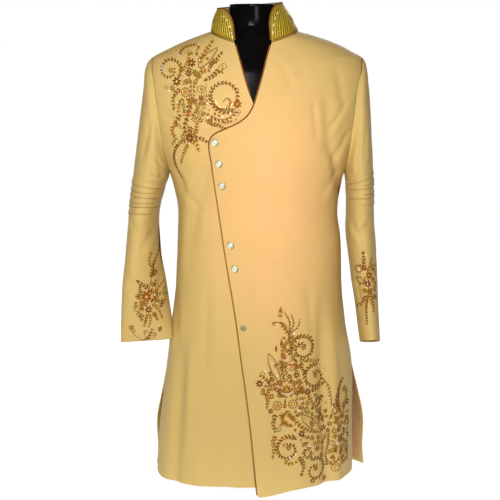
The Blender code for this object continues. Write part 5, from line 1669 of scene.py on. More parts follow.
    def acanthus(self, x: float, z: float, angle: float, size: float, tint: Tint = Tint.OLD_GOLD,
                 lobes: int = 5) -> None:
        """A fanned leaf of curved lobes, the middle one longest."""
        for lobe in range(lobes):
            off = (lobe - (lobes - 1) / 2) / max((lobes - 1) / 2, 1)
            length = size * (1 - 0.35 * abs(off))
            colour = Tint.GOLD if lobe % 2 else tint
            self.leaf(x, z, math.radians(angle) + 0.85 * off, length, length * 0.36, colour, 0.35 * off)

    def chain(self, points: Sequence[Point], size: float = 4.6, tint: Tint = Tint.WINE) -> None:
        """Pairs of short leaves that overlap like an ear of wheat."""
        path = rounded(points, 1.25)
        self.stems.append((path, 0.7, tint))
        self.leaf_path(path, size, size * 0.6, tint, (1, -1), 0.62, (1.0, 0.8), 0.46)

    def curl(self, points: Sequence[Point], radius: float, turns: float, side: int = 1,
             width: float = 0.9, tint: Tint = Tint.OLD_GOLD) -> None:
        """A line that winds up at its end into a small open curl.

        Args:
            points: the line.
            radius: the curl's radius.
            turns: how far it winds, in turns.
            side: 1 to wind to the left, -1 to the right.
            width: the cord's width.
            tint: its thread.
        """
        path = rounded(points, 1.25)
        angle = heading(path)[-1]
        t = np.linspace(0, 1, max(int(26 * turns), 6))[1:]
        turn = angle + side * 2 * math.pi * turns * t
        reach = radius * (1 - 0.62 * t)
        middle = path[-1] + radius * np.array([-math.sin(angle), math.cos(angle)]) * side
        wound = middle + np.stack([np.sin(turn) * reach, -np.cos(turn) * reach], axis=1) * side
        self.stems.append((evenly(np.concatenate([path, wound]), 1.25), width, tint))

    def fill(self, outline: Sequence[Point], gap: float, count: int, size: float = 6.0) -> None:
        """Small sprays wherever an area is still bare: three or five leaves in a fan, a
        small flower, or a short sprig.

        Args:
            outline: the area's corners.
            gap: the least distance from a spray's root to what is there.
            count: how many places are tried.
            size: about the length of a leaf.
        """
        corners = np.array(outline)
        after = np.roll(corners, -1, axis=0)
        leaves = np.array(self.leaves)
        reach = np.stack([np.cos(leaves[:, 2]), np.sin(leaves[:, 2])], axis=1) * leaves[:, 3:4]
        spots = np.concatenate([stem[0] for stem in self.stems]
                               + [leaves[:, :2] + reach * share for share in (0, 0.5, 1)]
                               + [np.array(self.beads)[:, :2]])
        tints = (Tint.GOLD, Tint.OLD_GOLD, Tint.OLD_GOLD, Tint.COPPER, Tint.GREEN)
        for x, z in self.random.uniform(corners.min(axis=0), corners.max(axis=0), (count, 2)):
            beside = (corners[:, 1] > z) != (after[:, 1] > z)
            rise = np.where(beside, after[:, 1] - corners[:, 1], 1)
            crossing = corners[:, 0] + (z - corners[:, 1]) / rise * (after[:, 0] - corners[:, 0])
            inside = np.sum(beside & (crossing > x)) % 2 == 1
            if not inside or np.hypot(spots[:, 0] - x, spots[:, 1] - z).min() < gap:
                continue
            kind, turn = self.random.integers(5), self.random.uniform(0, 2 * math.pi)
            tint = tints[self.random.integers(len(tints))]
            if kind == 0:
                self.flower(x, z, size * 0.85, (Tint.WINE, tint)[self.random.integers(2)], 6)
            elif kind == 1:
                self.acanthus(x, z, math.degrees(turn), size * 1.15, tint, 5)
            elif kind == 2:
                self.acanthus(x, z, math.degrees(turn), size, tint, 3)
                self.bead(x, z, 1.1, Tint.BRIGHT)
            else:
                run = np.array([math.cos(turn), math.sin(turn)]) * size
                side = np.array([-run[1], run[0]]) * 0.3
                start = np.array([x, z]) - run
                self.sprig([start, start + run + side, start + 2 * run], size * 0.75, size * 0.5, tint)
            end = (x + math.cos(turn) * size, z + math.sin(turn) * size)
            spots = np.concatenate([spots, [(x, z), end]])

    def slope(self, x: Array, z: Array) -> Array:
        """How much narrower the cloth looks from the front at a place than it is: the
        step across over the distance moved on the cloth."""
        zero = np.zeros(x.shape)
        step = 0.001
        moved = self.ground(x + step / 2, z, zero) - self.ground(x - step / 2, z, zero)
        return np.clip(step / np.linalg.norm(moved, axis=-1), 0.3, 1.0)

    def lay(self, places: Array, across: Array, up: Array, lift: Array) -> Array:
        """Small shapes laid on the cloth, true to size on it.

        Args:
            places: the shapes' own places, one a row.
            across: offsets across the cloth, one row for each shape.
            up: offsets up the cloth.
            lift: heights above the cloth.

        Returns:
            The points, shapes by points.
        """
        x, z = places[:, :1] / 1000, places[:, 1:2] / 1000
        narrow = self.slope(x, z)
        x, z, lift = np.broadcast_arrays(x + across * narrow / 1000, z + up / 1000, lift / 1000)
        return self.ground(x, z, lift)

    def leaf_mesh(self) -> tuple[Array, Array, Array]:
        """Every leaf as a closed form: five cross sections along it, each with two edges, two
        shoulders, a sunk vein and a point below; returns points, quads and tints. The tints carry
        painted light: lighter on the raised shoulders, one more than the other, with painted shade
        in the sunk vein, at the edges and below."""
        rows = np.array(self.leaves)
        along = np.array([0.02, 0.22, 0.52, 0.80, 1.0])
        half = np.array([0.16, 0.80, 1.0, 0.62, 0.05])
        across = np.array([-1.0, -0.5, 0.0, 0.5, 1.0, 0.0])
        height = np.array([0.0, 0.95, 0.62, 0.95, 0.0, -0.45])
        length, width, bend = rows[:, 3, None, None], rows[:, 4, None, None], rows[:, 5, None, None]
        run = along[None, :, None] * length + 0 * across
        side = half[None, :, None] * across * width / 2 + bend * length * along[None, :, None] ** 2
        lift = (height * (0.35 + 0.65 * half[:, None]))[None] * np.clip(width * 0.30, 0.35, 0.95)
        angle = rows[:, 2, None, None]
        dx = run * np.cos(angle) - side * np.sin(angle)
        dz = run * np.sin(angle) + side * np.cos(angle)
        count = len(rows)
        points = self.lay(rows[:, :2], *(value.reshape(count, -1) for value in (dx, dz, lift)))
        one = grid_faces(5, 6, True)
        caps = np.array([[3, 2, 1, 0], [0, 5, 4, 3], [24, 25, 26, 27], [27, 28, 29, 24]])
        faces = np.concatenate([one, caps])[None] + (np.arange(count) * 30)[:, None, None]
        # Painted light and shade across each leaf: edge, shoulder, vein, shoulder, edge, underside.
        shade = np.array([0.62, 1.0, 0.72, 1.12, 0.62, 0.5])
        tints = rows[:, None, None, 6:] * shade[None, None, :, None] * np.ones((1, 5, 1, 1))
        return points.reshape(-1, 3), faces.reshape(-1, 4), tints.reshape(-1, 3)

    def stem_mesh(self) -> tuple[Array, Array, Array]:
        """Every stem as a round cord whose radius swells and falls along it, drawn to a
        point at both ends; returns points, quads and tints."""
        turn = np.linspace(0, 2 * math.pi, 6, endpoint=False)
        places, offsets, tints, faces, first = [], [], [], [], 0
        for path, width, tint in self.stems:
            count = len(path)
            number = np.arange(count)
            end = np.minimum(number, number[::-1])
            swell = 1 + 0.22 * np.cos(math.pi * number)
            radius = width / 2 * np.clip(0.25 + end * 0.4, 0, 1) * swell
            angle = heading(path)
            out, lift = radius[:, None] * np.cos(turn), radius[:, None] * (0.55 + np.sin(turn))
            places.append(path)
            offsets.append(np.stack([-np.sin(angle)[:, None] * out, np.cos(angle)[:, None] * out, lift]))
            shade = 0.78 + 0.32 * (number % 2)
            tints.append(np.repeat(np.array(tint.value)[None] * shade[:, None], 6, axis=0))
            last = first + (count - 1) * 6
            faces.append(grid_faces(count, 6, True, first))
            faces.append(np.array([[3, 2, 1, 0], [0, 5, 4, 3]]) + first)
            faces.append(np.array([[0, 1, 2, 3], [3, 4, 5, 0]]) + last)
            first += count * 6
        dx, dz, lift = np.concatenate(offsets, axis=1)
        points = self.lay(np.concatenate(places), dx, dz, lift)
        return points.reshape(-1, 3), np.concatenate(faces), np.concatenate(tints)

    def round_mesh(self, rows: Array, rings: Sequence[Point], tilt: float) -> tuple[Array, Array, Array]:
        """Round things as closed forms.

        Args:
            rows: place, radius and colour of each.
            rings: share of the radius and of the height of each ring, from below to above.
            tilt: how far they lean at random, as a share of the radius.

        Returns:
            Points, triangles and tints. Both ends of the rings are closed by a fan.
        """
        count, radius, sides = len(rows), rows[:, 2, None, None], self.round_sides
        turn = np.linspace(0, 2 * math.pi, sides, endpoint=False)
        reach, level = np.array(rings)[:, :1], np.array(rings)[:, 1:]
        dx, dz = reach * np.cos(turn) * radius, reach * np.sin(turn) * radius
        lean = self.random.uniform(0, 2 * math.pi, (count, 1, 1))
        lift = level * radius + tilt * (dx * np.cos(lean) + dz * np.sin(lean)) + 0.15
        flat = [value.reshape(count, -1) for value in np.broadcast_arrays(dx, dz, lift)]
        middle = np.zeros((count, 2))
        ends = [middle, middle, rows[:, 2:3] * np.array([rings[0][1], rings[-1][1]]) + 0.15]
        dx, dz, lift = (np.concatenate([a, b], axis=1) for a, b in zip(flat, ends))
        points = self.lay(rows[:, :2], dx, dz, lift)
        size = len(rings) * sides
        quads = grid_faces(len(rings), sides, True)
        triangles = np.concatenate([quads[:, [0, 1, 2]], quads[:, [0, 2, 3]]])
        one = np.concatenate([triangles, *end_fans(len(rings), sides)])
        faces = (one[None] + (np.arange(count) * (size + 2))[:, None, None]).reshape(-1, 3)
        tints = np.repeat(rows[:, None, 3:6], size + 2, axis=1).reshape(-1, 3)
        return points.reshape(-1, 3), faces, tints

    def build(self, thread: bpy.types.Material, spangle: bpy.types.Material,
              stone: bpy.types.Material) -> None:
        """Makes the area's threadwork, sequins and beads as three joined pieces.

        Args:
            thread: the finish of the leaves and stems.
            spangle: the finish of the sequins.
            stone: the finish of the beads.
        """
        leaves, stems = self.leaf_mesh(), self.stem_mesh()
        stitched = (
            np.concatenate([leaves[0], stems[0]]),
            np.concatenate([leaves[1], stems[1] + len(leaves[0])]),
            np.concatenate([leaves[2], stems[2]]),
        )
        for name, work, sharp, finish in (
            ("threadwork", stitched, 70, thread),
            ("sequins", self.round_mesh(np.array(self.sequins), self.disc, 0.16), 40, spangle),
            ("beads", self.round_mesh(np.array(self.beads), self.dome, 0.0), 40, stone),
        ):
            points, faces, tints = work
            piece = build_mesh(f"{self.area}_{name}", points, [faces], tint=tints, sharp=sharp)
            finish_piece(piece, [finish])


class Socket:
    """A value in a shader. Its operators add Math nodes, with their reflected forms."""

    def __init__(self, shader: "Shader", output: Any) -> None:
        """Keeps the shader it belongs to and the node's output."""
        self.shader = shader
        self.output = output

    def __add__(self, other: Any) -> "Socket":
        """The sum."""
        return self.shader.maths("ADD", self, other)

    def __radd__(self, other: Any) -> "Socket":
        """The sum, reflected."""
        return self.shader.maths("ADD", other, self)

    def __sub__(self, other: Any) -> "Socket":
        """The difference."""
        return self.shader.maths("SUBTRACT", self, other)

    def __rsub__(self, other: Any) -> "Socket":
        """The difference, reflected."""
        return self.shader.maths("SUBTRACT", other, self)

    def __mul__(self, other: Any) -> "Socket":
        """The product."""
        return self.shader.maths("MULTIPLY", self, other)

    def __rmul__(self, other: Any) -> "Socket":
        """The product, reflected."""
        return self.shader.maths("MULTIPLY", other, self)


class Shader:
    """A material being built: one method adds any node, and the rest are short words for
    the ones used most."""

    def __init__(self, name: str) -> None:
        """Makes the material with its Principled shader."""
        self.material = bpy.data.materials.new(name)
        self.material.use_nodes = True
        self.tree = self.material.node_tree
        self.surface = self.tree.nodes["Principled BSDF"]

    def connect(self, socket: Any, value: Any) -> None:
        """Links a Socket to a node's input, or sets the input to a plain value."""
        if isinstance(value, Socket):
            self.tree.links.new(value.output, socket)
        elif hasattr(value, "__len__") and len(value) == 3 and len(socket.default_value) == 4:
            socket.default_value = (*value, 1)
        else:
            socket.default_value = value

    def node(
        self,
        kind: str,
        settings: dict[str, Any] | None = None,
        inputs: dict[Any, Any] | None = None,
        output: int | str = 0,
    ) -> Socket:
        """Adds a node.

        Args:
            kind: the node's type, after ShaderNode.
            settings: its own settings; stops are a ramp's places and colours.
            inputs: values or Sockets for its inputs, by name or number.
            output: which output to return.

        Returns:
            The chosen output.
        """
        node = self.tree.nodes.new(f"ShaderNode{kind}")
        for key, value in (settings or {}).items():
            if key == "stops":
                ramp = node.color_ramp.elements
                for index, (at, colour) in enumerate(value):
                    stop = ramp[index] if index < 2 else ramp.new(at)
                    stop.position = at
                    stop.color = (*colour, 1)
            else:
                setattr(node, key, value)
        for key, value in (inputs or {}).items():
            self.connect(node.inputs[key], value)
        return Socket(self, node.outputs[output])

    def maths(self, operation: str, *values: Any) -> Socket:
        """A Math node on these values."""
        return self.node("Math", {"operation": operation}, dict(enumerate(values)))

    def blend(self, factor: Any, first: Any, second: Any) -> Socket:
        """The first colour turning into the second."""
        settings = {"data_type": "RGBA", "clamp_factor": True}
        return self.node("Mix", settings, {0: factor, 6: first, 7: second}, 2)

    def place(self, scale: Sequence[float], uv: bool = True) -> Socket:
        """Coordinates on the piece, scaled on each axis: its UV map, or its own place."""
        source = self.node("UVMap", {"uv_map": "cloth"}) if uv else self.node("TexCoord", output="Object")
        return self.node("Mapping", None, {"Vector": source, "Scale": tuple(scale)})

    def noise(self, vector: Socket, scale: float, detail: float = 2.0) -> Socket:
        """Soft noise between 0 and 1."""
        return self.node("TexNoise", None, {"Vector": vector, "Scale": scale, "Detail": detail})

    def spread(self, value: Socket, low: float, high: float) -> Socket:
        """The value's range from low to high stretched to 0 to 1, and cut off outside."""
        return self.node("MapRange", None, {0: value, 1: low, 2: high, 3: 0.0, 4: 1.0})

    def bump(self, height: Socket, strength: float, distance: float) -> Socket:
        """A normal from a height."""
        return self.node("Bump", None, {"Height": height, "Strength": strength, "Distance": distance})

    def dress(self, **inputs: Any) -> bpy.types.Material:
        """Sets the Principled shader's inputs, named with underscores for blanks."""
        for key, value in inputs.items():
            self.connect(self.surface.inputs[key.replace("_", " ")], value)
        return self.material


@dataclass(frozen=True)
class RawSilk:
    """Golden beige raw silk: fine plain weave and slubs along the weft, under painted light: a
    peach pool of light round the middle of the body that turns olive, as painted shade,
    towards its sides, top and hem, and painted shade in the fold under each tuck's lip."""

    name: str = "raw silk cloth"
    # Painted light: the peach is the lit middle of the body, and the olive its painted shade towards the
    # edges.
    lit_peach: Colour = (0.730, 0.430, 0.180)
    shaded_olive: Colour = (0.520, 0.380, 0.136)
    slub: Colour = (0.430, 0.275, 0.080)
    # The deep brown of the painted shade under the tuck lips.
    painted_fold_shade: Colour = (0.160, 0.085, 0.015)

    def material(self) -> bpy.types.Material:
        """The finished material."""
        s = Shader(self.name)
        spot = s.node("TexCoord", output="Object")
        # Painted light: the distance from the middle of the body at about waist height, the same in front
        # and behind, with some noise, turns the colour from the lit peach to the shaded olive.
        away = s.node("Mapping", {"vector_type": "POINT"},
                      {"Vector": spot, "Location": (-0.10, 0.0, -0.98), "Scale": (3.1, 0.0, 1.45)})
        far = s.node("VectorMath", {"operation": "LENGTH"}, {0: away}, 1)
        painted_light_drift = s.spread(far + 0.35 * s.noise(s.place((1, 1, 1)), 7.0, 3.0), 0.25, 0.78)
        slubs = s.spread(s.noise(s.place((22, 900, 1)), 1.0, 2.0), 0.56, 0.80)
        warp = s.spread(s.noise(s.place((700, 14, 1)), 1.0, 1.5), 0.55, 0.85)
        weft = s.node("TexWave", {"bands_direction": "Y"},
                      {"Vector": s.place((1, 1, 1)), "Scale": 420.0, "Distortion": 1.2})
        threads = s.node("TexWave", {"bands_direction": "X"},
                         {"Vector": s.place((1, 1, 1)), "Scale": 420.0, "Distortion": 1.2})
        ground = s.blend(painted_light_drift, self.lit_peach, self.shaded_olive)
        colour = s.blend(slubs * 0.34 + warp * 0.10, ground, self.slub)
        # Painted shade: the attribute tint, set on the sleeves' top halves, darkens the silk to a deep
        # brown right under each tuck's lip.
        shade = s.node("SeparateColor", None, {0: s.node("VertexColor", {"layer_name": "tint"})})
        colour = s.blend(shade * 0.62, colour, self.painted_fold_shade)
        relief = weft * 0.5 + threads * 0.5 + slubs * 1.6 + warp * 0.5
        return s.dress(
            Base_Color=colour,
            Roughness=0.50 + 0.14 * slubs,
            Normal=s.bump(relief, 0.30, 0.00022),
            Specular_IOR_Level=0.10,
        )


@dataclass(frozen=True)
class Satin:
    """Lining satin: smooth, with fine lengthwise threads."""

    name: str
    colour: Colour
    shade: Colour

    def material(self) -> bpy.types.Material:
        """The finished material."""
        s = Shader(self.name)
        threads = s.noise(s.place((900, 30, 1)), 1.0, 2.0)
        soft = s.noise(s.place((1, 1, 1)), 45.0, 2.0)
        return s.dress(
            Base_Color=s.blend(s.spread(threads * 0.5 + soft * 0.5, 0.3, 0.7), self.colour, self.shade),
            Roughness=0.30 + 0.12 * threads,
            Normal=s.bump(threads, 0.18, 0.0002),
            Specular_IOR_Level=0.5,
            Sheen_Weight=0.15,
        )


@dataclass(frozen=True)
class Cord:
    """Two-ply twisted cord, dark round the chest, paler down the slant and darker again by the hem, with
    painted shade in the grooves between its plies.
    """

    name: str = "twisted cord"
    dark: Colour = (0.240, 0.080, 0.008)
    pale: Colour = (0.400, 0.200, 0.045)
    # The deep brown of the painted shade in the grooves between the plies.
    painted_groove_shade: Colour = (0.110, 0.040, 0.006)

    def material(self) -> bpy.types.Material:
        """The finished material."""
        s = Shader(self.name)
        height = s.node("SeparateXYZ", None, {0: s.node("TexCoord", output="Object")}, 2)
        low = s.spread(height, 0.80, 0.70) * (1 - s.spread(height, 0.16, 0.03) * 0.8)
        ply = s.node("TexWave", {"bands_direction": "X"}, {"Vector": s.place((1, 1, 1)), "Scale": 0.6366})
        fibres = s.noise(s.place((14, 600, 1)), 1.0, 2.0)
        body = s.blend(low * 0.85, self.dark, self.pale)
        # Painted shade: the ply pattern darkens the cord where the grooves between its plies lie.
        return s.dress(
            Base_Color=s.blend(s.spread(ply + fibres * 0.4, 0.20, 0.75), self.painted_groove_shade, body),
            Roughness=0.40 + 0.2 * fibres,
            Normal=s.bump(fibres, 0.35, 0.0002),
            Specular_IOR_Level=0.2,
        )


@dataclass(frozen=True)
class Polished:
    """A smooth hard finish: pearl, metal, gloss paint or satin steel, clouded a little."""

    name: str
    colour: Colour
    cloud: Colour
    roughness: float
    metallic: float = 0.0
    coat: float = 0.0
    grain: float = 60.0
    gloss: float = 0.5

    def material(self) -> bpy.types.Material:
        """The finished material."""
        s = Shader(self.name)
        clouds = s.noise(s.place((1, 1, 1), uv=False), self.grain, 3.0)
        fine = s.noise(s.place((1, 1, 1), uv=False), self.grain * 12, 2.0)
        return s.dress(
            Base_Color=s.blend(s.spread(clouds, 0.38, 0.66), self.colour, self.cloud),
            Roughness=self.roughness + 0.10 * fine,
            Metallic=self.metallic,
            Normal=s.bump(fine, 0.04, 0.0002),
            Specular_IOR_Level=self.gloss,
            Coat_Weight=self.coat,
            Coat_Roughness=0.08,
        )


def finish_piece(
    piece: bpy.types.Object,
    materials: Sequence[bpy.types.Material],
    nodes: Sequence[str] = (),
) -> None:
    """Dresses a finished piece and ties it to the frame.

    Args:
        piece: the piece.
        materials: one for each of its material slots.
        nodes: the solids that it stands for.
    """
    for material in materials:
        piece.data.materials.append(material)
    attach(piece, "root")
    if nodes:
        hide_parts(*nodes)
    log.info("%s: %d faces", piece.name, len(piece.data.polygons))


def declare(outer: Array) -> None:
    """Works out a cloth piece's flat cut from its outer points, and keeps none of it."""
    width, length, area = cut_of(outer)


def chest(work: Needlework) -> None:
    """The motifs on the chest, from the shoulder down to the side."""
    w, t = work, Tint
    w.leaf_path(w.stem([(-170, 991), (-165, 1002), (-153, 1009), (-136, 1012)]), 5.0, 3.2, t.OLD_GOLD)
    w.curl([(-163, 1000), (-158, 994), (-152, 994)], 4, 1.2, 1)
    w.sprig([(-127, 971), (-121, 986), (-111, 1001), (-101, 1015)], 7.0, 4.2, t.GOLD)
    w.paisley([(-128, 962), (-127, 976), (-112, 992), (-88, 1005), (-94, 990), (-110, 970)], 1.6, t.BROWN)
    w.sprig([(-99, 975), (-88, 982), (-80, 992)], 5.5, 3.8, t.OLD_GOLD)
    ring = w.ring((-190, 957), 22, -50, 420, 8, 7.0, 4.0, t.OLD_GOLD)
    w.leaf_path(ring[8:60], 3.2, 3.0, t.GREEN, (1,), 0.7, (0.8, 0.8), 0.5)
    w.flower(-190, 957, 6, t.COPPER, 6)
    w.curl([(-176, 940), (-186, 926), (-198, 917)], 5, 1.3, -1)
    w.sprig([(-172, 952), (-160, 962), (-152, 975), (-150, 988)], 6.0, 3.8, t.GOLD)
    w.curl([(-102, 945), (-92, 953), (-85, 962), (-78, 970)], 7, 1.2, -1, 1.1)
    w.acanthus(-80, 952, 60, 13, t.GREEN, 3)
    w.sprig([(-83, 960), (-92, 949), (-109, 939)], 7.0, 4.0, t.OLD_GOLD)
    w.sprig([(-118, 957), (-128, 947), (-134, 932)], 6.0, 3.6, t.GREEN)
    w.acanthus(-131, 946, 120, 14, t.GREEN, 5)
    w.acanthus(-131, 946, -20, 12, t.OLD_GOLD, 5)
    w.flower(-144, 973, 9, t.WINE, 7)
    w.flower(-118, 957, 7.5, t.COPPER, 6, t.YELLOW)
    w.flower(-176, 933, 9.5, t.WINE, 7)
    w.flower(-137, 953, 6.5, t.GREEN, 6, t.ORANGE)
    w.rosette(-157, 910, 11, t.WINE, t.ORANGE)
    w.rosette(-121.5, 917, 9, t.OLD_GOLD, t.GREEN)
    w.stem([(-110, 930), (-112, 917), (-110, 903)], 1.0)
    w.stem([(-132, 930), (-131, 917), (-132, 903)], 1.0)
    for x in (-143, -139.5):
        w.stem([(x, 936), (x - 0.5, 915), (x, 893)], 1.2, t.BROWN)
    w.leaf_path(rounded([(-143, 934), (-144, 897)], 1.3), 6.5, 5.0, t.GOLD, (-1,), 0.8)
    w.leaf_path(rounded([(-139.5, 934), (-139, 897)], 1.3), 6.5, 5.0, t.GOLD, (1,), 0.8)
    w.acanthus(-141, 889, 155, 18, t.OLD_GOLD)
    w.acanthus(-141, 889, 25, 15, t.OLD_GOLD)
    w.acanthus(-141, 891, 250, 13, t.GREEN, 3)
    w.sprig([(-168, 918), (-178, 908), (-186, 893), (-184, 878)], 6.5, 3.8, t.OLD_GOLD)
    w.sprig([(-160, 897), (-170, 887), (-174, 871)], 6.0, 3.8, t.GOLD)
    for shift in (0, 3.2):
        w.curl([(-119 + shift, 908), (-115 + shift, 889), (-122 + shift, 874), (-129, 866 - shift)], 5, 1.1)
    w.leaf_path(rounded([(-113, 905), (-112, 888), (-119, 872)], 1.3), 6.0, 4.2, t.GOLD, (1,), 0.8)
    w.acanthus(-150, 860, 95, 15, t.ORANGE, 3)
    stem = w.stem([(-147, 882), (-153, 858), (-159, 836), (-157, 822), (-148, 811)], 2.2, t.OLD_GOLD)
    w.sequin_row(stem[::8], 1.2, 2.8)
    w.leaf_path(stem, 7.0, 4.8, t.OLD_GOLD, (1, -1), 0.9)
    w.ring((-71, 901), 30, -55, -330, 27, 8.5, 4.4, t.OLD_GOLD)
    hook = w.stem([(-100, 893), (-92, 880), (-78, 874), (-62, 878), (-57, 890), (-64, 899), (-72, 895)],
                  1.2, t.BROWN)
    w.leaf_path(hook, 6.0, 3.6, t.GOLD, (1,), 0.9)
    for a in np.radians(np.arange(205, 335, 9.0)):
        w.sequin(-71 + 22 * math.cos(a), 900 + 22 * math.sin(a), 1.5, t.BRIGHT)
    bow = [(-100, 861), (-87, 854), (-74, 853), (-60, 858), (-49, 868)]
    w.stem(bow, 1.4, t.BROWN)
    w.leaf_path(rounded(bow, 1.3), 7.0, 4.4, t.OLD_GOLD, (-1,), 0.95)
    w.curl([(-52, 862), (-44, 861), (-38, 866)], 4.5, 1.2, 1)
    w.curl([(-98, 858), (-105, 850), (-111, 848)], 4.5, 1.2, -1)
    w.curl([(-56, 916), (-50, 921), (-43, 919)], 4.5, 1.2, -1)
    w.flower(-44, 886, 9, t.COPPER, 8, t.YELLOW)
    w.flower(-52, 872, 5, t.OLD_GOLD, 6, t.WHITE)
    w.flower(-104, 848, 7, t.OLD_GOLD, 7, t.ORANGE)
    for x, z in ((-109, 886), (-108, 856), (-58, 866), (-75, 859), (-193, 912), (-174, 888), (-160, 940),
                 (-126, 978), (-97, 962)):
        w.bead(x, z, 1.9, t.WHITE)
    for x, z in ((-172, 990), (-129, 1013), (-211, 960), (-212, 953), (-210, 966), (-178, 766)):
        w.bead(x, z, 1.9, t.LILAC)
    w.sprig([(-104, 842), (-92, 842), (-82, 838), (-73, 834)], 5.5, 3.4, t.OLD_GOLD)
    w.sprig([(-80, 850), (-70, 846), (-60, 848)], 5.0, 3.4, t.GOLD)
    scroll = w.stem([(-166, 858), (-176, 851), (-178, 841), (-170, 839)], 1.2, t.BROWN)
    w.leaf_path(scroll, 7.0, 3.8, t.OLD_GOLD, (-1,), 0.95)
    low = w.stem([(-176, 846), (-187, 832), (-186, 818), (-179, 810), (-186, 798)], 1.0, t.BROWN)
    w.leaf_path(low, 6.5, 3.8, t.GOLD)
    w.sprig([(-141, 814), (-134, 826), (-132, 840)], 6.5, 3.6, t.GOLD)
    w.sprig([(-139, 811), (-127, 811), (-115, 806)], 6.5, 3.6, t.OLD_GOLD)
    w.sprig([(-141, 806), (-134, 799), (-131, 790)], 6.5, 3.6, t.GOLD)
    w.flower(-148, 811, 10, t.WINE, 8)
    w.sprig([(-156, 806), (-168, 802), (-174, 796)], 6.0, 3.4, t.OLD_GOLD)
    w.chain([(-176, 796), (-183, 780), (-184, 766), (-179, 747), (-171, 724)], 5.6, t.WINE)
    w.sprig([(-152, 800), (-158, 786), (-163, 774), (-167, 760)], 6.0, 3.8, t.GOLD)
    w.fill([(-166, 978), (-128, 1004), (-112, 990), (-92, 968), (-104, 940), (-110, 915), (-110, 862),
            (-130, 845), (-134, 800), (-165, 800), (-172, 850), (-180, 880), (-186, 920), (-160, 945)],
           4.6, 1500, 7.0)
    w.fill([(-104, 880), (-104, 845), (-70, 830), (-44, 856), (-58, 874), (-80, 864)], 4.8, 400, 6.0)


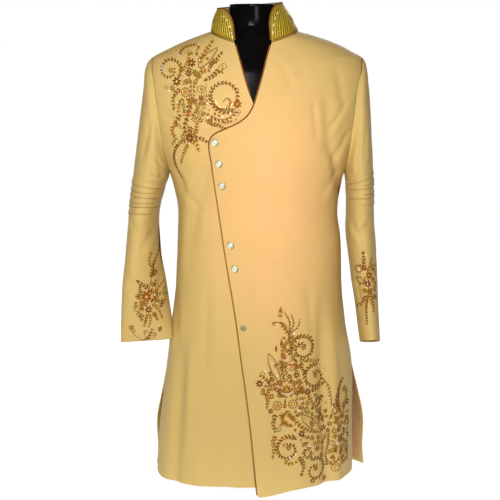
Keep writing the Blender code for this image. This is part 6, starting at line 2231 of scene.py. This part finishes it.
def hem(work: Needlework) -> None:
    """The motifs on the skirt's left front, from the bud down to the side."""
    w, t = work, Tint
    w.acanthus(52, 430, 92, 11, t.OLD_GOLD, 3)
    w.sprig([(52, 433), (50, 415), (55, 398), (69, 377)], 6.0, 4.2, t.GOLD)
    w.curl([(69, 377), (62, 393), (50, 404), (37, 405)], 4, 1.2, 1, 1.8)
    w.feather([(68, 379), (62, 393), (52, 402)], 10, t.OLD_GOLD, -1)
    for tip in (
        ((72, 393), (69, 410), (61, 424)),
        ((78, 392), (80, 405), (76, 418)),
        ((84, 387), (92, 396), (93, 406)),
    ):
        w.leaf_path(w.stem([(69, 376), *tip], 1.5), 5.0, 3.4, t.OLD_GOLD, (-1,), 0.6)
    w.bead_row([(66, 386), (66, 397), (61, 409)], 0.9, 2.8, t.BRIGHT)
    w.bead(82, 379, 2.4, t.WHITE)
    w.ring((102, 346), 23, 128, -430, 6, 8.0, 4.0, t.OLD_GOLD)
    w.flower(104, 345, 6, t.COPPER)
    w.acanthus(96, 350, 200, 10, t.GREEN, 3)
    w.leaf(52, 350, 1.2, 17, 6, t.OLD_GOLD, 0.3)
    w.leaf(43, 338, 1.9, 15, 5.5, t.OLD_GOLD, -0.3)
    w.sprig([(74, 366), (62, 356), (56, 343), (58, 330)], 6.0, 3.8, t.GOLD)
    w.flower(59, 327, 7, t.COPPER, 7)
    w.paisley([(25, 336), (24, 316), (33, 292), (55, 259), (50, 288), (40, 318)], 1.6, t.BROWN)
    w.curl([(79, 318), (68, 312), (66, 301), (74, 295)], 5, 1.2, 1, 1.2)
    for x, z, radius, tint, *centre in (
        (88, 284, 7, t.WINE), (72, 281, 6, t.OLD_GOLD, t.YELLOW), (50, 268, 7, t.COPPER),
        (5, 267, 8, t.WINE), (13, 252, 5, t.OLD_GOLD, t.YELLOW), (32, 238, 6, t.COPPER),
        (113, 243.5, 8, t.WINE), (30, 205, 6, t.OLD_GOLD), (99, 150, 8, t.WINE),
        (124, 136, 6, t.COPPER, t.YELLOW), (140, 134, 5.5, t.OLD_GOLD),
        (137, 109, 7, t.OLD_GOLD, t.ORANGE), (126, 35, 6.5, t.COPPER), (159, 32, 6.5, t.OLD_GOLD),
        (155, 151.5, 7.5, t.WINE), (186, 146, 8, t.WINE), (190, 89, 8, t.WINE), (208, 200, 7, t.WINE),
        (209, 120, 7, t.WINE), (200, 233, 7, t.COPPER, t.YELLOW), (175, 202, 7, t.OLD_GOLD),
        (132, 279, 6, t.COPPER), (70, 119, 6, t.COPPER), (133, 63, 6, t.OLD_GOLD, t.YELLOW),
    ):
        w.flower(x, z, radius, tint, 7, *centre)
    w.ring((132, 279), 24, 75, 400, 7, 8.0, 4.0, t.OLD_GOLD)
    w.acanthus(140, 284, 40, 9, t.GREEN, 3)
    tail = w.stem([(154, 268), (164, 250), (168, 225), (170, 203)], 1.3, t.BROWN)
    w.leaf_path(tail, 6.0, 4.6, t.GOLD, (-1,), 0.8)
    w.sprig([(110, 318), (124, 312), (139, 311)], 6.0, 3.6, t.GOLD)
    w.sprig([(96, 312), (100, 300), (104, 290)], 6.0, 3.6, t.OLD_GOLD)
    w.curl([(28, 270), (18, 278), (9, 284)], 6, 1.2, -1, 1.1)
    w.leaf_path(rounded([(28, 270), (18, 278), (9, 284)], 1.3), 6.0, 3.6, t.OLD_GOLD)
    w.acanthus(66, 244, 90, 21, t.OLD_GOLD, 7)
    w.acanthus(66, 246, 90, 13, t.BRIGHT, 5)
    w.bead_row([(54, 245), (60, 240), (72, 240), (78, 245)], 1.0, 3.6, t.LILAC)
    w.sprig([(120, 245), (134, 248), (150, 255)], 7.0, 3.8, t.OLD_GOLD)
    w.sprig([(112, 234), (120, 228), (124, 216)], 6.0, 3.6, t.GOLD)
    w.sprig([(150, 232), (148, 220), (140, 210), (128, 206)], 7.0, 3.4, t.OLD_GOLD)
    w.bead(98, 226, 2.0, t.LILAC)
    w.bead(181, 114, 2.0, t.LILAC)
    w.bead(66, 320, 2.0, t.LILAC)
    w.rosette(45, 216.5, 11, t.OLD_GOLD, t.ORANGE)
    w.rosette(79.5, 219, 11, t.WINE, t.BRIGHT)
    w.sprig([(56, 268), (64, 274), (70, 270)], 5.0, 3.4, t.GOLD)
    w.sprig([(20, 244), (24, 232), (22, 218)], 6.0, 3.6, t.GOLD)
    w.acanthus(62, 190, 160, 16, t.OLD_GOLD)
    w.acanthus(74, 184, 40, 15, t.OLD_GOLD)
    vine = w.stem([(64, 203), (80, 186), (98, 166), (116, 154), (133, 147)], 1.3, t.BROWN)
    w.leaf_path(vine, 7.0, 4.2, t.GOLD)
    w.curl([(41, 196), (36, 178), (40, 160), (48, 158)], 6, 1.2, 1, 1.2)
    w.leaf_path(rounded([(41, 196), (36, 178), (40, 160)], 1.3), 6.5, 3.8, t.OLD_GOLD)
    w.paisley([(99, 194), (102, 178), (119, 160), (147, 144), (139, 164), (121, 184)], 1.6, t.BROWN)
    w.ring((70, 119), 24, 45, 410, 7, 8.0, 4.0, t.OLD_GOLD)
    w.acanthus(62, 124, 130, 9, t.GREEN, 3)
    w.ring((133, 63), 23, 120, -400, 6, 8.0, 4.0, t.OLD_GOLD)
    w.sprig([(42, 150), (36, 136), (38, 120), (36, 104)], 6.5, 3.8, t.GOLD)
    w.sprig([(92, 98), (100, 86), (104, 72), (100, 58)], 6.5, 3.8, t.OLD_GOLD)
    w.sprig([(60, 88), (72, 82), (84, 84)], 6.0, 3.6, t.GOLD)
    w.sprig([(110, 114), (104, 102), (110, 94)], 5.5, 3.6, t.OLD_GOLD)
    for x, z in ((115, 369), (79, 304), (154, 290), (59, 141)):
        w.bead(x, z, 2.3, t.ORANGE)
    for x, z in ((73, 96), (86, 103), (170.5, 200), (46, 284), (18, 296), (92, 204), (118, 118)):
        w.bead(x, z, 1.9, t.WHITE)
    w.rosette(181, 53, 10, t.WINE, t.BRIGHT)
    oval = [(183, 190), (180, 215), (184, 240), (194, 256)]
    w.leaf_path(w.stem(oval, 1.2, t.BROWN), 8.5, 3.8, t.OLD_GOLD)
    w.leaf_path(w.stem([(196, 190), (204, 206), (206, 226)], 1.2, t.BROWN), 8.0, 3.8, t.GOLD)
    w.acanthus(163, 190, 170, 12, t.OLD_GOLD, 5)
    w.acanthus(196, 190, 10, 14, t.OLD_GOLD, 5)
    w.stem([(172, 200), (170, 185), (166, 168)], 1.5, t.BROWN)
    w.chain([(165, 150), (167, 128), (165, 105), (163, 84), (166, 66)], 5.4, t.OLD_GOLD)
    for row, (x, z) in enumerate((
        (176, 168), (196, 166), (180, 128), (200, 142), (176, 98), (204, 100), (174, 74), (196, 68),
        (210, 82), (150, 96), (150, 118), (186, 182),
    )):
        w.acanthus(x, z, 40 + 67 * row, 13, (t.OLD_GOLD, t.WINE, t.GOLD)[row % 3])
    w.curl([(166, 150), (160, 134), (166, 122), (174, 118)], 6, 1.3, -1, 1.4)
    w.curl([(160, 90), (152, 80), (154, 68), (162, 62)], 6, 1.3, 1, 1.4)
    w.sprig([(176, 160), (184, 172), (198, 178), (210, 176)], 6.5, 3.6, t.GOLD)
    w.sprig([(194, 132), (202, 128), (206, 134)], 6.5, 3.6, t.OLD_GOLD)
    w.sprig([(170, 60), (178, 68), (190, 74), (202, 80)], 6.5, 3.6, t.GOLD)
    w.fill([(60, 390), (84, 384), (82, 330), (104, 312), (120, 240), (96, 226), (60, 232), (40, 244),
            (8, 240), (0, 276), (30, 290), (50, 320)], 4.8, 1600, 7.0)
    w.fill([(96, 226), (150, 236), (168, 244), (184, 262), (208, 240), (212, 60), (156, 56), (148, 140),
            (110, 140), (70, 170), (44, 180), (28, 200), (40, 236)], 5.3, 2600, 7.0)
    w.fill([(158, 180), (208, 185), (212, 120), (212, 64), (156, 60), (152, 120)], 3.7, 2600, 7.5)
    w.fill([(60, 160), (100, 150), (150, 140), (150, 90), (104, 92), (98, 140)], 5.0, 600, 7.0)


def cuff_right(work: Needlework) -> None:
    """The spray on the viewer's left cuff, from a leaf tip down to two curls."""
    w, t = work, Tint
    w.sprig([(-240, 488), (-238, 508), (-234, 526), (-222, 554)], 7.0, 3.6, t.OLD_GOLD)
    w.sprig([(-238, 512), (-245, 526), (-243, 541)], 6.0, 3.4, t.GOLD)
    w.flower(-233, 500, 7, t.WINE, 7)
    w.stem([(-240, 488), (-246, 468), (-252, 450)], 1.6, t.BROWN)
    w.sprig([(-247, 466), (-257, 474), (-267, 482)], 7.0, 3.6, t.OLD_GOLD)
    w.flower(-252, 448, 12, t.COPPER, 8, t.BRIGHT)
    w.acanthus(-264, 450, 175, 15, t.OLD_GOLD, 5)
    w.acanthus(-258, 438, 225, 15, t.GREEN, 5)
    w.acanthus(-244, 456, 55, 13, t.OLD_GOLD, 5)
    w.bead(-234, 450, 2.2, t.WHITE)
    w.flower(-247, 418, 8, t.WINE, 7)
    w.sprig([(-238, 450), (-226, 462), (-217, 474)], 6.0, 3.2, t.GOLD)
    w.sprig([(-238, 446), (-224, 450), (-211, 447)], 6.0, 3.2, t.OLD_GOLD)
    w.sprig([(-240, 430), (-229, 422), (-219, 401)], 5.5, 3.4, t.GOLD)
    w.acanthus(-258, 424, 200, 14, t.OLD_GOLD, 5)
    w.acanthus(-268, 416, 240, 12, t.GREEN, 3)
    w.chain([(-249, 408), (-253, 396), (-256, 384)], 5.6, t.OLD_GOLD)
    w.chain([(-244, 408), (-243, 394), (-246, 382)], 5.2, t.GOLD)
    foot = w.stem([(-265, 346), (-254, 349), (-246, 358), (-240, 371)], 1.5, t.BROWN)
    w.leaf_path(foot, 5.5, 3.8, t.OLD_GOLD)
    w.curl([(-250, 352), (-256, 359), (-258, 366)], 5, 1.4, -1, 1.2)
    w.curl([(-248, 354), (-239, 353), (-232, 357)], 5, 1.4, 1, 1.2)
    w.curl([(-266, 352), (-276, 358), (-284, 366)], 5, 1.3, -1, 1.2)
    w.flower(-286, 378, 6, t.COPPER, 6)
    w.flower(-222, 372, 5.5, t.WINE, 6)
    w.fill([(-280, 420), (-262, 478), (-240, 482), (-214, 470), (-212, 440), (-232, 400), (-258, 384)],
           4.4, 900, 6.5)


def cuff_left(work: Needlework) -> None:
    """The spray on the viewer's right cuff, from an upright leaf down to a hanging one."""
    w, t = work, Tint
    w.sprig([(241, 508), (240, 524), (239, 546)], 6.5, 3.4, t.OLD_GOLD)
    w.sprig([(247, 508), (253, 518), (257, 530)], 5.5, 3.4, t.GOLD)
    w.bead(245, 545, 1.5, t.WHITE)
    w.bead(246, 539, 1.2, t.BRIGHT)
    w.ring((231, 512), 8.5, 0, 400, 3.5, 5.5, 3.2, t.COPPER, t.WINE)
    w.bead(231, 512, 2.3, t.WHITE)
    w.ring((233, 489), 8.5, 40, -380, 3.5, 5.5, 3.2, t.OLD_GOLD)
    w.bead(233, 489, 1.9, t.YELLOW)
    w.flower(252, 500, 8.5, t.COPPER, 8)
    w.flower(249, 481, 7.5, t.WINE, 7)
    w.acanthus(252, 470, 300, 14, t.OLD_GOLD, 5)
    w.acanthus(246, 470, 240, 14, t.GREEN, 5)
    w.acanthus(258, 488, 20, 11, t.OLD_GOLD, 5)
    w.flower(253, 457, 6.5, t.COPPER, 6)
    w.sprig([(249, 456), (240, 443), (230, 428)], 6.5, 3.4, t.OLD_GOLD)
    w.sprig([(254, 450), (260, 438), (262, 424)], 5.5, 3.4, t.GOLD)
    w.chain([(247, 446), (246, 425), (247, 396)], 5.6, t.OLD_GOLD)
    w.stem([(250, 500), (250, 480), (252, 457)], 1.6, t.BROWN)
    w.fill([(236, 530), (262, 530), (268, 470), (264, 430), (234, 425), (236, 470)], 4.2, 700, 6.5)


def collar_work(work: Needlework, length: float) -> None:
    """The collar: slanting rows of sequins that fan from its two front corners, small
    flowers round its middle and a double border.

    Args:
        work: the area, in millimetres along the collar from its end on the viewer's right.
        length: the collar's length.
    """
    w, t = work, Tint
    tints = (t.LIME, t.BROWN, t.YELLOW, t.OLD_GOLD, t.LIME, t.COPPER)
    for end, side in ((0.0, 1), (length, -1)):
        for row in range(22):
            foot = 3.2 + 3.0 * row
            top = foot + 6 + 0.12 * foot
            high = 22 + 29 * math.sqrt(1 - (1 - min(1.0, top / 45)) ** 2)
            start, tip = (end + side * foot, 5.5), (end + side * top, high - 3)
            middle = ((start[0] * 0.62 + tip[0] * 0.38), (start[1] + tip[1]) / 2)
            w.sequin_row([start, middle, tip], 1.45, 2.7, tints[row % len(tints)])
        for x, z in ((5, 14), (8, 24), (15, 34), (26, 41)):
            w.bead(end + side * x, z, 1.5, t.WHITE)
    spacing = 8.0
    count = int((length - 152) / spacing)
    for index in range(count + 1):
        x = 76 + (length - 152) * index / count
        tint = tints[index % len(tints)]
        w.sequin_row([(x - 4, 6), (x, 26), (x + 4, 48)], 1.35, 2.8, tint)
        w.sequin_row([(x + 4, 6), (x, 26), (x - 4, 48)], 1.35, 2.8, t.YELLOW)
        if index % 3 == 0:
            w.flower(x, 27, 6.5, t.WINE if index % 2 else t.COPPER, 7)
    for level, tint in ((2.2, t.BROWN), (4.4, t.GOLD)):
        w.stem([(4, level), (length / 2, level), (length - 4, level)], 1.1, tint)


@dataclass(frozen=True)
class Thread:
    """Metal and silk thread: the tint of each stitch under fine strands."""

    name: str = "embroidery thread"
    strand: Colour = (0.060, 0.028, 0.006)

    def material(self) -> bpy.types.Material:
        """The finished material."""
        s = Shader(self.name)
        tint = s.node("VertexColor", {"layer_name": "tint"})
        strands = s.noise(s.place((2600, 2600, 900), uv=False), 1.0, 2.0)
        return s.dress(
            Base_Color=s.blend(s.spread(strands, 0.35, 0.7) * 0.35, tint, self.strand),
            Roughness=0.38 + 0.2 * strands,
            Normal=s.bump(strands, 0.4, 0.0002),
            Specular_IOR_Level=0.22,
        )


@dataclass(frozen=True)
class Glitter:
    """Sequins or beads: the tint of each under a gloss."""

    name: str
    roughness: float
    metallic: float
    coat: float

    def material(self) -> bpy.types.Material:
        """The finished material."""
        s = Shader(self.name)
        tint = s.node("VertexColor", {"layer_name": "tint"})
        wear = s.noise(s.place((1, 1, 1), uv=False), 900.0, 2.0)
        return s.dress(
            Base_Color=tint,
            Roughness=self.roughness + 0.12 * wear,
            Metallic=self.metallic,
            Coat_Weight=self.coat,
            Coat_Roughness=0.1,
        )


class Studio:
    """A pale floor, a surround that is white behind the coat, and soft light."""

    def build(self) -> None:
        """Makes the floor, the world, the lights and the camera."""
        self.floor()
        self.surround()
        self.light("key", (-0.40, -1.90, 1.50), 0.6, 41.0, (1.0, 0.97, 0.93))
        self.light("front", (0.30, -2.0, 0.80), 0.5, 12.0, (1.0, 0.95, 0.90))
        self.light("behind", (0.9, 2.7, 2.0), 1.6, 24.0, (1.0, 0.97, 0.93))
        self.camera()

    def floor(self) -> None:
        """A wide round floor: it glows white behind the coat and is dim in front of it."""
        s = Shader("pale floor")
        grain = s.noise(s.place((1, 1, 1), uv=False), 3.0, 2.0)
        depth = s.node("SeparateXYZ", None, {0: s.node("TexCoord", output="Object")}, 1)
        white = s.spread(depth, -0.42, -0.24)
        material = s.dress(
            Base_Color=s.blend(grain, (0.36, 0.36, 0.36), (0.34, 0.34, 0.34)),
            Roughness=0.85,
            Emission_Color=s.blend(white, (0.12, 0.09, 0.055), (0.95, 0.95, 0.95)),
            Emission_Strength=1.0,
        )
        turn = np.linspace(0, 2 * math.pi, 96, endpoint=False)
        radius = np.array([0.0001, 0.5, 1.5, 4.0, 12.0, 40.0, 120.0])[:, None]
        points = np.stack([radius * np.cos(turn), radius * np.sin(turn),
                           np.full((len(radius), 96), -0.0005)], axis=-1)
        mesh = bpy.data.meshes.new("floor")
        mesh.from_pydata(points.reshape(-1, 3), [], grid_faces(len(radius), 96, True)[:, ::-1].tolist())
        mesh.shade_smooth()
        mesh.materials.append(material)
        floor = bpy.data.objects.new("floor", mesh)
        bpy.context.scene.collection.objects.link(floor)

    def surround(self) -> None:
        """A world that is white straight behind the coat and a dim warm tone elsewhere,
        by how far a direction points to the back."""
        world = bpy.data.worlds.new("white surround")
        bpy.context.scene.world = world
        world.use_nodes = True
        tree = world.node_tree
        direction = tree.nodes.new("ShaderNodeSeparateXYZ")
        tree.links.new(tree.nodes.new("ShaderNodeTexCoord").outputs["Generated"], direction.inputs[0])
        ramp = tree.nodes.new("ShaderNodeValToRGB")
        tree.links.new(direction.outputs[1], ramp.inputs[0])
        warm, white = (0.120, 0.088, 0.050), (1.0, 1.0, 1.0)
        stops = ((0.0, warm), (0.80, warm), (0.94, white), (1.0, white))
        for index, (at, colour) in enumerate(stops):
            stop = ramp.color_ramp.elements[index] if index < 2 else ramp.color_ramp.elements.new(at)
            stop.position = at
            stop.color = (*colour, 1)
        background = tree.nodes["Background"]
        tree.links.new(ramp.outputs[0], background.inputs["Color"])
        background.inputs["Strength"].default_value = 1.0
        bpy.context.scene.view_settings.view_transform = "Standard"

    def light(self, name: str, place: Sequence[float], size: float, power: float, colour: Colour) -> None:
        """An area light that faces the middle of the coat."""
        lamp = bpy.data.lights.new(name, "AREA")
        lamp.size = size
        lamp.energy = power
        lamp.color = colour
        holder = bpy.data.objects.new(name, lamp)
        holder.location = place
        towards = -unit(np.array(place) - np.array([0, 0, 0.62]))
        holder.rotation_euler = (
            math.acos(-towards[2]), 0.0, math.atan2(towards[1], towards[0]) - math.pi / 2,
        )
        bpy.context.scene.collection.objects.link(holder)

    def camera(self) -> None:
        """The camera at chest height, pitched down a little."""
        lens = bpy.data.cameras.new("camera")
        lens.sensor_width = 36.0
        lens.lens = 84.67
        camera = bpy.data.objects.new("camera", lens)
        camera.location = (-0.01625, -2.68, 1.03)
        camera.rotation_euler = (math.radians(79.7), 0.0, 0.0)
        bpy.context.scene.collection.objects.link(camera)
        bpy.context.scene.camera = camera


@dataclass
class Coat:
    """The coat: its cloth, linings, cords and buttons."""

    top_front: Front = Front("front_left", 1, TOP_EDGE, (0.0, 0.015, 0.11))
    under_front: Front = Front("front_right", -1, UNDER_EDGE, (0.022, 0.026, 0.17))
    back: Back = Back()
    sleeves: tuple[Sleeve, ...] = (
        Sleeve("right", -1, RIGHT_RINGS, RIGHT_TUCKS, RIGHT_CREASES),
        Sleeve("left", 1, LEFT_RINGS, LEFT_TUCKS, LEFT_CREASES),
    )
    collar: Collar = Collar()

    def build(self) -> None:
        """Makes and dresses every piece of the coat, and works out the cut of its cloth."""
        silk = RawSilk().material()
        vent_satin = Satin("vent satin", (0.58, 0.30, 0.09), (0.40, 0.17, 0.035)).material()
        # The cuff lining is a darker copy of the lining satin: its dark red-brown is partly its own colour
        # and partly painted shade inside the sleeve.
        cuff_satin_in_painted_shade = Satin("cuff satin", (0.26, 0.075, 0.035), (0.15, 0.040, 0.018)).material()
        collar_silk = RawSilk("collar silk", (0.34, 0.22, 0.04), (0.28, 0.20, 0.03), (0.18, 0.11, 0.02))
        for front in (self.top_front, self.under_front):
            self.cloth(front.build(), silk, "raw_silk", front.node)
        self.cloth(self.back.build(), silk, "raw_silk", "back")
        for sleeve in self.sleeves:
            for top, half in ((True, "top"), (False, "under")):
                self.cloth(sleeve.build_half(top), silk, "raw_silk", f"sleeve_{sleeve.wearer}_{half}")
            self.cloth(sleeve.build_cuff_lining(), cuff_satin_in_painted_shade, "satin_lining",
                       f"lining_cuff_{sleeve.wearer}")
        for wearer, side in (("right", -1), ("left", 1)):
            made = self.back.build_vent_lining(f"vent_lining_{wearer}", side)
            self.cloth(made, vent_satin, "satin_lining", f"lining_vent_{wearer}")
        self.cloth(self.collar.build(), collar_silk.material(), "collar_embroidery", "collar")
        cord = Cord().material()
        for node, piece in Piping(self.top_front, self.under_front, self.collar).build().items():
            finish_piece(piece, [cord], [node])
        self.fasten()

    def cloth(self, made: tuple[bpy.types.Object, Array], material: bpy.types.Material, slot: str,
              node: str) -> None:
        """Dresses a cloth piece and works out its cut.

        Args:
            made: the piece and its outer points.
            material: its finish.
            slot: not used.
            node: the solid that it stands for.
        """
        piece, outer = made
        finish_piece(piece, [material], [node])
        declare(outer)

    def fasten(self) -> None:
        """Makes and dresses the buttons."""
        rim = Polished("button rim", (0.46, 0.50, 0.30), (0.34, 0.36, 0.20), 0.24, 0.9).material()
        pearl = Polished("pearl", (0.66, 0.67, 0.60), (0.44, 0.48, 0.38), 0.10, 0.0, 0.6, 190.0).material()
        bronze = Polished("dull bronze", (0.30, 0.28, 0.15), (0.22, 0.20, 0.10), 0.34, 0.7).material()
        for index, (piece, kind) in enumerate(Buttons(self.top_front).build(), start=1):
            pearly = kind is ButtonKind.PEARL
            finish_piece(piece, [rim, pearl] if pearly else [bronze, bronze], [f"button_{index}"])


def embroider(coat: Coat) -> None:
    """Works the five embroidered areas and lays them on their cloth."""
    thread = Thread().material()
    spangle = Glitter("sequins", 0.22, 0.35, 0.2).material()
    stone = Glitter("glass beads", 0.10, 0.0, 0.6).material()
    areas = [
        (Needlework("chest", coat.under_front.place, 11), chest),
        (Needlework("hem", coat.top_front.place, 23), hem),
        (Needlework("cuff_right", coat.sleeves[0].place, 37), cuff_right),
        (Needlework("cuff_left", coat.sleeves[1].place, 41), cuff_left),
    ]
    for work, layout in areas:
        layout(work)
        work.build(thread, spangle, stone)
    work = Needlework("collar", coat.collar.ground, 53)
    collar_work(work, coat.collar.length() * 1000)
    work.build(thread, spangle, stone)


def dress_form(form: DressForm) -> None:
    """Makes the form's four pieces and gives them gloss black and satin steel."""
    gloss = Polished("gloss black", (0.002, 0.002, 0.002), (0.004, 0.004, 0.004), 0.10, 0.0, 0.0, 9.0,
                     0.04).material()
    steel = Polished("satin steel", (0.035, 0.035, 0.038), (0.060, 0.060, 0.062), 0.34, 0.85).material()
    finish_piece(form.build_torso(), [gloss], ["form_torso"])
    finish_piece(form.build_cap(), [gloss], ["form_neck_cap"])
    finish_piece(form.build_pole(), [steel], ["form_pole"])
    finish_piece(form.build_base(), [steel], ["form_base"])


def main() -> None:
    """Builds the coat, its form and the studio."""
    logging.basicConfig(level=logging.INFO, format="%(message)s")
    Studio().build()
    dress_form(DressForm())
    coat = Coat()
    coat.build()
    embroider(coat)


if __name__ == "__main__":
    main()
